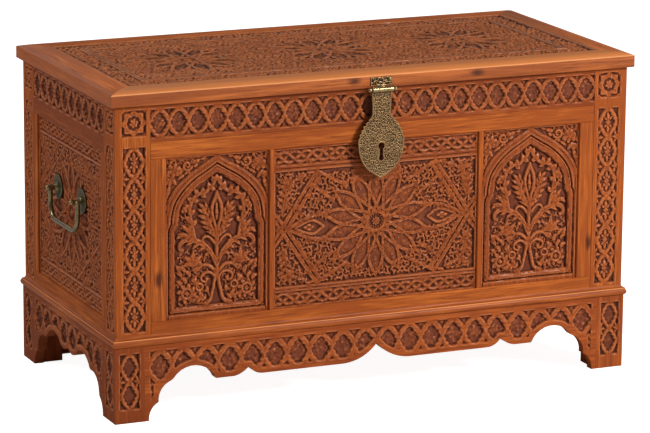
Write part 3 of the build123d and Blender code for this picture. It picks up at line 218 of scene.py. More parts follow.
def wood(name, grain, light=(0.57, 0.152, 0.026), dark=(0.31, 0.067, 0.012),
         ground=(0.115, 0.031, 0.018), gloss=0.62, knots=(), sheen=0.08, bright=None, mottle=1.0):
    """Oiled hardwood with its grain along one axis; carved parts darken with depth, into the ground's own
    darker tone and painted shade; raised edges turn pale, partly worn and partly as painted highlight;
    creases take painted shade.

    The last argument gives the heights of a band of painted highlight, with the top of a finer, paler
    painted highlight line between them.
    """
    finish = Finish(name)
    place = finish.add("ShaderNodeTexCoord", {}, {}, "Object")
    stretch = tuple(1.3 if axis == grain else 30.0 for axis in "XYZ")
    along = finish.add("ShaderNodeMapping", {}, {"Vector": place, "Scale": stretch})
    fibre = finish.add("ShaderNodeTexNoise", {}, {"Vector": along, "Scale": 11.0, "Detail": 7.0,
                                                  "Roughness": 0.65, "Distortion": 0.2}, "Fac")
    figure = finish.add("ShaderNodeTexNoise", {}, {"Vector": along, "Scale": 0.9, "Detail": 3.0,
                                                   "Roughness": 0.5, "Distortion": 1.4}, "Fac")
    bands = (figure * 9.0).math("SINE") * 0.5 + 0.5
    patch = finish.add("ShaderNodeTexNoise", {}, {"Vector": place, "Scale": 5.0, "Detail": 3.0}, "Fac")
    tone = fibre * 0.62 + bands * 0.2 + patch * 0.3 - 0.06
    colour = finish.add("ShaderNodeValToRGB", {"stops": ((0.40, dark), (0.60, light))},
                        {"Fac": tone}, "Color")
    pores = fibre.step(0.43, 0.34)
    colour = finish.mix(pores * 0.5, colour, pore_brown)
    squash = tuple(0.45 if axis == grain else 1.0 for axis in "XYZ")
    flattened = finish.add("ShaderNodeMapping", {}, {"Vector": place, "Scale": squash})
    for x, y, z, radius in knots:
        away = finish.add("ShaderNodeVectorMath", {"operation": "DISTANCE"},
                          {0: flattened, 1: tuple(a * b for a, b in zip((x, y, z), squash))}, "Value")
        colour = finish.mix((away / radius + fibre * 0.9).step(1.3, 0.6) * 0.92, colour, knot_brown)
    depth, wear = (finish.add("ShaderNodeAttribute", {"attribute_name": layer}, {}, "Fac")
                   for layer in ("depth", "wear"))
    fleck = finish.add("ShaderNodeTexNoise", {}, {"Vector": place, "Scale": 210.0, "Detail": 3.0}, "Fac")
    mottled = finish.mix(fleck.step(0.38, 0.62), *(tuple(part * mottle for part in shade)
                                                   for shade in (fleck_dark, fleck_light)))
    colour = finish.mix(depth.step(0.02, 0.10) * 0.6, colour, mottled)
    # The carved ground's darker colour, reached with depth: partly the ground's own tone, partly painted
    # shade deepening into the hollows.
    colour = finish.mix(depth.step(0.15, 0.8) * 0.85, colour, ground)
    # Raised edges, where the curvature is above zero, turn pale: partly worn wood, partly painted highlight.
    colour = finish.mix(wear.step(0.15, 0.9) * 0.34, colour, wear_and_highlight_pale)
    # Painted highlight: a pale band between the lowest and highest given heights, and over its lower part,
    # up to the middle height, a finer line paler still.
    if bright:
        low, line, high = bright
        rise = finish.add("ShaderNodeSeparateXYZ", {}, {0: place}, "Z")
        for end, share, tint in ((high, 0.62, painted_highlight_band), (line, 0.5, painted_highlight_line)):
            band = rise.step(low, low + 0.001) * rise.step(end + 0.001, end)
            colour = finish.mix(band * share, colour, tint)
    # Painted shade: creases and hollows, where the curvature is below zero, are darkened towards a
    # near-black brown.
    colour = finish.mix((wear * -1.0).step(0.1, 1.0) * 0.6, colour, painted_crease_shade)
    bump = finish.add("ShaderNodeBump", {}, {"Height": fibre * 0.6 + pores * -0.5, "Strength": 0.35,
                                             "Distance": 0.0004}, "Normal")
    finish.set(Base_Color=colour, Roughness=fibre * 0.16 + depth.clamp() * 0.22 + (gloss - 0.1),
               Normal=bump, Specular_IOR_Level=sheen,
               Coat_Weight=wear.step(0.1, 0.7) * 0.35, Coat_Roughness=0.28)
    return finish.material


wood_x = wood("wood along x", "X")
wood_y = wood("wood along y", "Y")
wood_z = wood("wood along z", "Z")
carved_x = wood("carved wood along x", "X", light=(0.38, 0.090, 0.019), dark=(0.21, 0.042, 0.010),
                ground=(0.135, 0.038, 0.021), mottle=0.80)
carved_y = wood("carved wood along y", "Y", light=(0.41, 0.105, 0.026), dark=(0.23, 0.050, 0.014),
                ground=(0.095, 0.028, 0.019), mottle=0.92)
carved_z = wood("carved wood along z", "Z", light=(0.42, 0.100, 0.021), dark=(0.23, 0.047, 0.011),
                ground=(0.120, 0.032, 0.018), mottle=0.86)
carved_apron = wood("carved apron wood", "X", light=(0.48, 0.116, 0.023), dark=(0.27, 0.055, 0.012),
                    ground=(0.150, 0.040, 0.021))


def soften(heights, reach):
    """Box blur of a height map, twice, over `reach` grid lines each way."""
    for axis in (0, 1, 0, 1):
        wide = np.pad(heights, [(reach + 1, reach) if a == axis else (0, 0) for a in (0, 1)], mode="edge")
        total = np.cumsum(wide, axis=axis)
        upper, lower = [slice(None)] * 2, [slice(None)] * 2
        upper[axis], lower[axis] = slice(2 * reach + 1, None), slice(None, -2 * reach - 1)
        heights = (total[tuple(upper)] - total[tuple(lower)]) / (2 * reach + 1)
    return heights


def smooth(start, end, value):
    """0 before start, 1 after end, eased between."""
    t = np.clip((value - start) / (end - start), 0, 1)
    return t * t * (3 - 2 * t)


def polar(x, y, radius, way):
    """The point at a radius and an angle in radians from another."""
    return x + radius * math.cos(way), y + radius * math.sin(way)


def curve(*points, steps=8):
    """A smooth line through points."""
    p = np.array([points[0], *points, points[-1]], float)
    t = np.linspace(0, 1, steps, endpoint=False)[:, None]
    runs = []
    for a, b, c, d in zip(p, p[1:], p[2:], p[3:]):
        runs.append(0.5 * (2 * b + (c - a) * t + (2 * a - 5 * b + 4 * c - d) * t ** 2
                           + (3 * b - a - 3 * c + d) * t ** 3))
    return np.vstack(runs + [p[-1:]])


def spiral(x, y, start, end, first, last, steps=26):
    """Points of a scroll: from radius start at angle first to radius end at angle last, in degrees."""
    turn = np.radians(np.linspace(first, last, steps))
    radius = np.linspace(start, end, steps)
    return np.stack([x + radius * np.cos(turn), y + radius * np.sin(turn)], axis=1)


class Carving:
    """A carved face, in millimetres: heights below the board's face on a grid of lines."""

    def __init__(self, left, right, bottom, top, pitch, seed, corner=None):
        self.across = np.linspace(left, right, round((right - left) / pitch) + 1)
        if corner is not None:
            self.across = np.concatenate([np.linspace(left, corner, round((corner - left) / pitch) + 1)[:-1],
                                          np.linspace(corner, right, round((right - corner) / pitch) + 1)])
        self.up = np.linspace(bottom, top, round((top - bottom) / pitch) + 1)
        self.x, self.y = np.meshgrid(self.across, self.up)
        self.h = np.zeros_like(self.x)
        self.random = np.random.default_rng(seed)

    def window(self, left, right, bottom, top):
        """The part of the grid inside a box, and its coordinates."""
        rows = slice(*np.searchsorted(self.up, (bottom, top)))
        columns = slice(*np.searchsorted(self.across, (left, right)))
        return (rows, columns), self.x[rows, columns], self.y[rows, columns]

    def sink(self, distance, depth, wall=1.4):
        """Lowers the ground inside an outline; distance is negative inside it."""
        self.h = np.minimum(self.h, -depth * smooth(wall, -wall, distance + wall))

    def around(self, x0, y0, wide, high):
        """The part of the grid round a point, and its coordinates from that point."""
        window, x, y = self.window(x0 - wide, x0 + wide, y0 - high, y0 + high)
        return window, x - x0, y - y0

    def panelled(self, left, right, bottom, top, depth, wall=1.4):
        """Sinks a rectangle."""
        self.sink(np.maximum(np.maximum(left - self.x, self.x - right),
                             np.maximum(bottom - self.y, self.y - top)), depth, wall)

    def lift(self, window, distance, top, crown, round_over, detail=0.0, wall=2.6):
        """Leaves wood standing inside an outline, rounded over towards its edge."""
        inside = np.clip(-distance / round_over, 0, 1)
        shape = top - crown * (1 - inside) ** 2 - wall * np.maximum(distance, 0)
        shape = shape + np.where(distance < 0.4, detail, 0)
        self.h[window] = np.maximum(self.h[window], np.minimum(shape, 0))

    def stroke(self, points, width, top=-0.5, crown=1.0, groove=0.0):
        """A band along a line; width is one number or several along it."""
        points = np.asarray(points, float)
        run = np.linspace(0, 1, len(points))
        half = np.interp(run, np.linspace(0, 1, np.size(width)), np.atleast_1d(width)) / 2
        reach = half.max() + 2.0
        (left, bottom), (right, upper) = points.min(axis=0) - reach, points.max(axis=0) + reach
        window, x, y = self.window(left, right, bottom, upper)
        if x.size == 0:
            return
        best, middle = np.full(x.shape, 99.0), np.full(x.shape, 99.0)
        for (ax, ay), (bx, by), wa, wb in zip(points, points[1:], half, half[1:]):
            dx, dy = bx - ax, by - ay
            t = np.clip(((x - ax) * dx + (y - ay) * dy) / (dx * dx + dy * dy + 1e-9), 0, 1)
            away = np.hypot(x - ax - t * dx, y - ay - t * dy)
            best = np.minimum(best, away - wa - (wb - wa) * t)
            middle = np.minimum(middle, away)
        detail = -groove * np.exp(-(middle / 0.9) ** 2) if groove else 0.0
        self.lift(window, best, top, crown, max(half.max(), 0.8), detail)

    def leaf(self, x0, y0, x1, y1, width, bend=0.0, lobes=3, top=-0.7, cut=0.35):
        """A leaf from its foot to its tip: toothed edges, a midrib and side veins."""
        length = math.hypot(x1 - x0, y1 - y0)
        ax, ay = (x1 - x0) / length, (y1 - y0) / length
        reach = width + abs(bend) + 1.5
        window, x, y = self.window(min(x0, x1) - reach, max(x0, x1) + reach,
                                   min(y0, y1) - reach, max(y0, y1) + reach)
        t = ((x - x0) * ax + (y - y0) * ay) / length
        s = (y - y0) * ax - (x - x0) * ay - bend * 4 * t * (1 - t)
        inside = np.clip(t, 0, 1)
        tooth = 1 - cut * ((inside * lobes) % 1.0)
        half = width / 2 * np.sin(np.pi * inside ** 0.7) ** 0.75 * tooth
        beyond = np.maximum(np.abs(t - 0.5) - 0.5, 0) * length
        distance = np.hypot(np.maximum(np.abs(s) - half, 0), beyond) - np.maximum(half - np.abs(s), 0)
        vein = -0.55 * np.exp(-(s / 0.8) ** 2)
        vein += 0.22 * np.cos(2 * np.pi * (inside * lobes - 0.9 * np.abs(s) / (width / 2)))
        self.lift(window, distance, top, 0.9, width / 2, vein)

    def leaves(self, hand, rows, width=None, bend=0.0, **style):
        """Several leaves on one side, from foot to tip; a row's fifth number is its own width."""
        for x, y, tip_x, tip_y, *own in rows:
            self.leaf(hand * x, y, hand * tip_x, tip_y, *(own or [width]), bend=bend * hand, **style)

    def bloom(self, x0, y0, radius, petals, turn=0.0, top=-0.5, eye=0.3, stretch=1.0):
        """A rosette with round petals and a bead in the middle; turn in degrees."""
        window, x, y = self.around(x0, y0, radius * stretch + 3, radius + 3)
        x = x / stretch
        away, angle = np.hypot(x, y), np.arctan2(y, x) - math.radians(turn)
        lobe = np.abs(np.cos(petals * angle / 2))
        split = -0.9 * (1 - lobe) ** 3 * smooth(eye * radius, eye * radius + 1.5, away)
        bead = -0.8 * np.exp(-((away - eye * radius) / 0.8) ** 2)
        self.lift(window, away - radius * (0.66 + 0.34 * lobe), top, 0.8, radius / 2, split + bead)

    def ring(self, x0, y0, radius, width, top=-0.5, crown=0.9):
        window, x, y = self.around(x0, y0, radius + width + 3, radius + width + 3)
        self.lift(window, np.abs(np.hypot(x, y) - radius) - width / 2, top, crown, width / 2)

    def bead(self, x0, y0, radius, top=-0.3):
        window, x, y = self.around(x0, y0, radius + 3, radius + 3)
        self.lift(window, np.hypot(x, y) - radius, top, 1.2, radius)

    def palmette(self, x0, y0, size, towards, leaves=5, spread=150.0, top=-0.6):
        """Leaves fanned round a direction given in degrees."""
        for index in range(leaves):
            share = index / (leaves - 1) - 0.5
            tip = polar(x0, y0, size * (1 - 0.45 * abs(share)), math.radians(towards + share * spread))
            self.leaf(x0, y0, *tip, size * 0.42, bend=-share * size * 0.25, lobes=2, top=top)
        self.bead(x0, y0, size * 0.16, top)

    def foliage(self, left, right, bottom, top, distance, spacing, size, level=-0.9):
        """Small leaf sprigs scattered over the ground inside an outline given as a function."""
        draw = self.random.uniform
        for y in np.arange(bottom + spacing / 2, top, spacing * 0.86):
            for x in np.arange(left + spacing / 2 * ((round(y / spacing) % 2) + 0.5), right, spacing):
                px, py = x + draw(-0.22, 0.22) * spacing, y + draw(-0.22, 0.22) * spacing
                angle = draw(0, 360)
                if distance(px, py) > -size * 0.3:
                    continue
                for turn in (0, 125, 235):
                    tip = polar(px, py, size * draw(0.6, 0.85), math.radians(angle + turn))
                    self.leaf(px, py, *tip, size * 0.46, bend=draw(-1.2, 1.2), lobes=2,
                              top=level + draw(-0.3, 0.3))

    def lattice(self, left, right, bottom, top, cells, strap, depth=4.8):
        """A row of pointed ovals between crossing straps, with darts above and below each crossing."""
        high = (top - bottom) / 2
        pitch = (right - left) / cells
        self.panelled(left, right, bottom, top, depth)
        window, x, y = self.window(left, right, bottom, top)
        x = (x - left) % pitch - pitch / 2
        size = np.abs((y - (top + bottom) / 2) / high)
        slope = 0.5 * pitch / high * 1.6 * size ** 0.6
        away = (np.abs(x) - pitch / 2 * (1 - size ** 1.6)) / np.sqrt(1 + slope ** 2)
        tooth = np.where(away < 0, 1.9 * np.abs(np.sin((size + 0.07) * np.pi * 3.6)),
                         0.5 * np.abs(np.cos(size * 8)))
        self.lift(window, np.abs(away) - strap / 2 + tooth, -0.25, 1.1, strap / 2)
        rough = soften(self.random.normal(0, 1, x.shape), 1)
        self.h[window] += np.where(self.h[window] < 1.2 - depth, rough / rough.std() * 0.5, 0)
        dart = pitch / 2 - np.abs(x) - (size - 0.62) * pitch * 0.3
        self.lift(window, np.maximum(dart, 0.68 - size), 1.9 - depth, 0.8, 2.0)

    def chain(self, middle, bottom, top, width, cells, strap=9.0, depth=4.6, flowers=True):
        """Pointed ovals one above the other between crossing straps, with leaves at each crossing."""
        pitch = (top - bottom) / cells
        self.panelled(middle - width / 2, middle + width / 2, bottom, top, depth)
        window, x, y = self.window(middle - width / 2, middle + width / 2, bottom, top)
        x = x - middle
        y = (y - bottom) % pitch - pitch / 2
        size = np.abs(y) / (pitch / 2)
        wide = width / 2 - strap * 0.55
        slope = wide * 1.5 * size ** 0.5 / (pitch / 2)
        away = (np.abs(x) - wide * (1 - size ** 1.5)) / np.sqrt(1 + slope ** 2)
        tooth = np.where(away < 0, 2.0 * np.abs(np.sin((size + 0.08) * np.pi * 3.6)),
                         0.8 * np.abs(np.cos(size * 9)))
        self.lift(window, np.abs(away) - strap / 2 + tooth, -0.35, 1.2, strap / 2)
        for index in range(cells):
            centre = bottom + (index + 0.5) * pitch
            if flowers:
                self.bloom(middle, centre, width * 0.13, 4, top=-0.9, stretch=0.9)
            for rise in (-1, 1) if flowers else ():
                self.leaf(middle, centre + rise * pitch * 0.12, middle, centre + rise * pitch * 0.36,
                          width * 0.17, lobes=3, top=-0.9)
                for hand in (-1, 1):
                    self.leaf(middle + hand * width * 0.06, centre + rise * pitch * 0.08,
                              middle + hand * width * 0.2, centre + rise * pitch * 0.2,
                              width * 0.11, lobes=1, top=-1.3)
            for hand in (-1, 1) if index else ():
                edge, foot = middle + hand * (width / 2 - 0.5), centre - pitch / 2
                for lean, reach in ((-0.42, 0.17), (0.0, 0.3), (0.42, 0.17)):
                    self.leaf(edge, foot, edge - hand * width * reach, foot + lean * pitch * 0.62,
                              5.4, bend=lean * 4, lobes=2, top=-0.7)

    def star(self, x0, y0, size):
        """A sunk square holding two crossed squares, a small flower and leaves in the corners."""
        self.panelled(x0 - size / 2, x0 + size / 2, y0 - size / 2, y0 + size / 2, 4.2)
        for turn in (0, 45):
            self.stroke([polar(x0, y0, size * 0.46, math.radians(turn + n * 90)) for n in range(5)],
                        4.4, top=-0.4, groove=0.8)
        self.bloom(x0, y0, size * 0.17, 6, turn=15, top=-0.5, eye=0.35)
        for index in range(8):
            self.bead(*polar(x0, y0, size * 0.27, math.radians(index * 45 + 22.5)), 1.5, -1.1)
        for side in (-1, 1):
            for rise in (-1, 1):
                corner = (x0 + side * size * 0.49, y0 + rise * size * 0.49)
                for lean in (-28, 0, 28):
                    tip = polar(*corner, size * 0.15, math.atan2(-rise, -side) + math.radians(lean))
                    self.leaf(*corner, *tip, 3.4, lobes=1, top=-0.9)

    def weathered(self, amount=0.22, waves=0.45):
        """Marks of the gouge all over the carving, and leaves that rise and dip a little."""
        for reach, strength in ((1, amount), (3, waves)):
            marks = soften(self.random.normal(0, 1, self.h.shape), reach)
            self.h = self.h + marks / marks.std() * strength * smooth(-0.3, -0.9, self.h)
        self.h = np.minimum(self.h, 0)


def trim(form, outlines):
    """Cuts a grid of faces back to outlines, the board's own and those of holes, in metres."""
    starts = np.vstack(outlines)
    ends = np.vstack([np.roll(line, -1, axis=0) for line in outlines])

    def nearest(x, y):
        dx, dy = (ends - starts).T
        t = np.clip(((x - starts[:, 0]) * dx + (y - starts[:, 1]) * dy) / (dx * dx + dy * dy + 1e-15), 0, 1)
        px, py = starts[:, 0] + t * dx, starts[:, 1] + t * dy
        best = np.argmin((px - x) ** 2 + (py - y) ** 2)
        return px[best], py[best]

    centres = np.array([face.calc_center_median()[:2] for face in form.faces])
    crossings = np.zeros(len(centres), bool)
    for (ax, ay), (bx, by) in zip(starts, ends):
        spans = (ay > centres[:, 1]) != (by > centres[:, 1])
        cut = ax + (centres[:, 1] - ay) * (bx - ax) / (by - ay if by != ay else 1e-12)
        crossings ^= spans & (centres[:, 0] < cut)
    outside = [face for face, inside in zip(form.faces, crossings) if not inside]
    bmesh.ops.delete(form, geom=outside, context="FACES")
    for vert in form.verts:
        if vert.is_boundary:
            vert.co.x, vert.co.y = nearest(vert.co.x, vert.co.y)


def grid_form(name, carving, places):
    """A carving's grid with its points in place; "depth" keeps how deep each point is, the second layer its
    curvature.
    """
    form = bmesh.new()
    rows, columns = carving.x.shape
    bmesh.ops.create_grid(form, x_segments=columns - 1, y_segments=rows - 1, size=0.5)
    mesh = bpy.data.meshes.new(name)
    form.to_mesh(mesh)
    form.free()
    mesh.vertices.foreach_set("co", places.ravel())
    deepest = max(-carving.h.min(), 1.0)
    # The curvature is above zero on raised edges and below zero in hollows and creases; the wood finishes
    # paint highlight and shade from it.
    level = carving.h - soften(carving.h, 2)
    for attribute, values in (("depth", -carving.h / deepest), ("wear", level / 1.2)):
        layer = mesh.attributes.new(attribute, "FLOAT", "POINT")
        layer.data.foreach_set("value", np.clip(values, -1, 1).ravel())
    form = bmesh.new()
    form.from_mesh(mesh)
    return form, mesh


def capped(form, edges):
    """Fills a loop of edges with a flat face."""
    bmesh.ops.triangle_fill(form, use_beauty=False, use_dissolve=False, edges=edges)


def carved_board(name, carving, origin, across, up, thickness, outlines=(), holes=(), mortise=None):
    """A closed board whose face carries the carving. origin is where the carving's zero lies.

    A mortise (left, bottom, right, top, skin) is cut from the back and leaves that skin; holes in
    it open into it.
    """
    form, mesh = grid_form(name, carving, np.stack([carving.x, carving.y, carving.h], axis=-1) * MM)
    if outlines:
        trim(form, [np.asarray(outline) * MM for outline in outlines])
    for left, bottom, right, top in holes:
        centres = [(face, face.calc_center_median() / MM) for face in form.faces]
        inside = [face for face, spot in centres if left < spot.x < right and bottom < spot.y < top]
        bmesh.ops.delete(form, geom=inside, context="FACES")
    rim = [edge for edge in form.edges if edge.is_boundary]
    bed, lip = [], []

    def sunk(edges, depth):
        """Extrudes edges to a depth and gives the edges that they reach."""
        made = bmesh.ops.extrude_edge_only(form, edges=edges)["geom"]
        for part in made:
            if isinstance(part, bmesh.types.BMVert):
                part.co.z = -depth
        return [part for part in made if isinstance(part, bmesh.types.BMEdge)
                and all(abs(vert.co.z + depth) < 1e-7 for vert in part.verts)]

    if mortise:
        left, bottom, right, top, skin = (value * MM for value in mortise)
        bed = [edge for edge in rim if all(left < vert.co.x < right and bottom < vert.co.y < top
                                           for vert in edge.verts)]
        corners = [form.verts.new((x, y, -skin)) for x, y in ((left, bottom), (right, bottom),
                                                              (right, top), (left, top))]
        lip = [form.edges.new(pair) for pair in zip(corners, corners[1:] + corners[:1])]
        capped(form, sunk(bed, skin) + lip)
    capped(form, sunk([edge for edge in rim if edge not in bed] + lip, thickness * MM))
    bmesh.ops.recalc_face_normals(form, faces=form.faces)
    across, up = Vector(across), Vector(up)
    turn = Matrix((across, up, across.cross(up))).transposed().to_4x4()
    bmesh.ops.transform(form, matrix=Matrix.Translation(origin) @ turn, verts=form.verts)
    return shown(form, name, mesh)


def shown(form, name, mesh=None, smooth_below=40.0):
    """Puts a finished shape in the scene, smooth but for its sharp edges."""
    mesh = mesh or bpy.data.meshes.new(name)
    form.to_mesh(mesh)
    form.free()
    mesh.polygons.foreach_set("use_smooth", np.ones(len(mesh.polygons), bool))
    mesh.set_sharp_from_angle(angle=math.radians(smooth_below))
    mesh.update()
    piece = bpy.data.objects.new(name, mesh)
    scene.collection.objects.link(piece)
    return piece


def finished(piece, body, material, slot, *replaced):
    """Gives a piece its material, its body and the solids it stands for."""
    piece.data.materials.clear()
    piece.data.materials.append(material)
    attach(piece, body)
    if replaced:
        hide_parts(*replaced)


front_frieze = Carving(-435, 435, 501, case_top, 1.15, 11)
front_frieze.lattice(-435, 435, *frieze_band, 24, strap=8.6)
front_frieze.panelled(-435, 435, 505.6, 506.9, 1.3, wall=0.6)
front_frieze.weathered()
finished(carved_board("front_frieze", front_frieze, (0, -front_face, 0), (1, 0, 0), (0, 0, 1), 20),
         "root", carved_x, "carved_wood", "frieze_front")
for side, outward in (("left", -1), ("right", 1)):
    end_frieze = Carving(-184, 184, 478, case_top, 1.2, 12 + outward)
    end_frieze.lattice(-184, 184, *frieze_band, 10, strap=8.6)
    end_frieze.weathered()
    finished(carved_board(side + "_frieze", end_frieze, (outward * end_face, 0, 0), (0, outward, 0),
                          (0, 0, 1), 20), "root", carved_y, "carved_wood", "frieze_" + side)


# --------------------------------------
# Corner posts: solid hardwood uprights, carved on both outer faces with a
# chain of pointed ovals under a star square. Grain runs up the post.
def carved_post(name, carving, start, first, length, second, behind):
    """A solid upright carved on two faces: `first` and `second` are the ways across them."""
    first, second, upright = Vector(first), Vector(second), Vector((0, 0, 1))
    x, y, h = carving.x.ravel() * MM, carving.y.ravel() * MM, carving.h.ravel() * MM
    length = length * MM
    on_first = x <= length + 1e-9
    places = (np.array(Vector(start))[None] + np.where(on_first, x, length)[:, None] * np.array(first)
              + np.where(on_first, 0, x - length)[:, None] * np.array(second)
              + y[:, None] * np.array(upright)
              + h[:, None] * np.where(on_first[:, None], np.array(first.cross(upright)),
                                      np.array(second.cross(upright))))
    form, mesh = grid_form(name, carving, places)
    uprights = [edge for edge in form.edges if edge.is_boundary
                and abs(edge.verts[0].co.z - edge.verts[1].co.z) > 1e-6]
    made = bmesh.ops.extrude_edge_only(form, edges=uprights)["geom"]
    hidden = [vert for vert in made if isinstance(vert, bmesh.types.BMVert)]
    for vert in hidden:
        vert.co.x, vert.co.y = behind
    bmesh.ops.remove_doubles(form, verts=hidden, dist=1e-6)
    ends = [edge for edge in form.edges if edge.is_boundary]
    middle = (carving.up[0] + carving.up[-1]) / 2 * MM
    for above in (True, False):
        capped(form, [edge for edge in ends if (edge.verts[0].co.z > middle) == above])
    bmesh.ops.recalc_face_normals(form, faces=form.faces)
    return shown(form, name, mesh)


def corners(end, face, inner_end, inner_face, seed):
    """The four uprights: name, foot of the first face, way across it, its length in millimetres,
    way across the second face, hidden edge, seed."""
    deep, wide = round((face - inner_face) / MM), round((end - inner_end) / MM)
    return (("front_left", (-end, -inner_face, 0), (0, -1, 0), deep, (1, 0, 0),
             (-inner_end, -inner_face), seed),
            ("front_right", (inner_end, -face, 0), (1, 0, 0), wide, (0, 1, 0),
             (inner_end, -inner_face), seed + 1),
            ("back_right", (end, inner_face, 0), (0, 1, 0), deep, (-1, 0, 0),
             (inner_end, inner_face), seed + 2),
            ("back_left", (-inner_end, face, 0), (-1, 0, 0), wide, (0, -1, 0),
             (-inner_end, inner_face), seed + 3))


for name, start, first, length, second, behind, seed in corners(end_face, front_face, 0.435, 0.184, 21):
    post = Carving(0, 121, 151, case_top, 1.25, seed, corner=length)
    for middle, width in ((28, 38), (91.5, 43)) if length == 56 else ((29.5, 43), (93, 38)):
        if name.startswith("back") and width == 43:
            continue
        post.chain(middle, 162, 494, width, 6)
        post.star(middle, 536.5, width + 4 if width == 43 else width + 2)
    post.weathered()
    finished(carved_post("post_" + name + "_carved", post, start, first, length, second, behind),
             "root", wood_z, "carved_wood", "post_" + name)


# --------------------------------------
# Arched panels: thin boards behind the front frame, each a double moulding
# round a deep field with a carved tree of scrolls, palmettes and a bud.
def arch_line(half, foot, shoulder, cusp, apex):
    """One side of a pointed arch on straight jambs, from the sill up to the point."""
    haunch, rise = half - cusp, apex - shoulder
    bend = [(share * haunch, shoulder + lift * rise) for share, lift in (
        (0.93, 0.25), (0.76, 0.49), (0.50, 0.71), (0.22, 0.87))]
    point = curve((haunch, shoulder - 11), (haunch - 0.5, shoulder), *bend, (0, apex), steps=6)
    return [(half, foot), (half, shoulder - 26), (half - cusp * 0.25, shoulder - 19),
            (haunch + cusp * 0.2, shoulder - 13)] + [tuple(spot) for spot in point]


def inside_of(carving, points):
    """Distance to a closed outline over the whole carving, negative inside."""
    line = np.asarray(points, float)
    distance = np.full(carving.x.shape, 1e9)
    inside = np.zeros(carving.x.shape, bool)
    for (ax, ay), (bx, by) in zip(line, np.roll(line, -1, axis=0)):
        dx, dy = bx - ax, by - ay
        t = np.clip(((carving.x - ax) * dx + (carving.y - ay) * dy) / (dx * dx + dy * dy + 1e-9), 0, 1)
        distance = np.minimum(distance, np.hypot(carving.x - ax - t * dx, carving.y - ay - t * dy))
        spans = (ay > carving.y) != (by > carving.y)
        cut = ax + (carving.y - ay) * dx / (dy if dy else 1e-9)
        inside ^= spans & (carving.x < cut)
    return np.where(inside, -distance, distance)


def mirrored(points):
    return points + [(-x, y) for x, y in reversed(points) if abs(x) > 1e-6]


panel_face, panel_foot, panel_top = 0.236, 178, 470
arch_panel = Carving(-98.25, 98.25, panel_foot, panel_top, 1.1, 31)
field = inside_of(arch_panel, mirrored(arch_line(80, 197, 360, 7, 438.5)))
inner = inside_of(arch_panel, mirrored(arch_line(91, 187, 362, 5, 453.5)))
outer = inside_of(arch_panel, mirrored(arch_line(98, 120, 368, 0, 467)))
arch_panel.sink(np.maximum(np.maximum(np.abs(arch_panel.x) - 96.5, arch_panel.y - 467.5), -outer), 4.6)
arch_panel.sink(np.abs(inner + 0.2) - 2.1, 4.8, wall=0.9)
for roll, middle, half in ((field, 4.3, 4.3), (-outer, 2.7, 2.7)):
    away = np.abs(roll - middle) / half
    arch_panel.h = np.where(away < 1, np.minimum(arch_panel.h, -2.0 * away ** 3), arch_panel.h)
edge_line = np.abs(np.maximum(np.abs(arch_panel.x) - 95.5, 183 - arch_panel.y)) - 0.7
arch_panel.sink(edge_line, 1.2, wall=0.7)
arch_panel.sink(field, 6.0, wall=1.2)


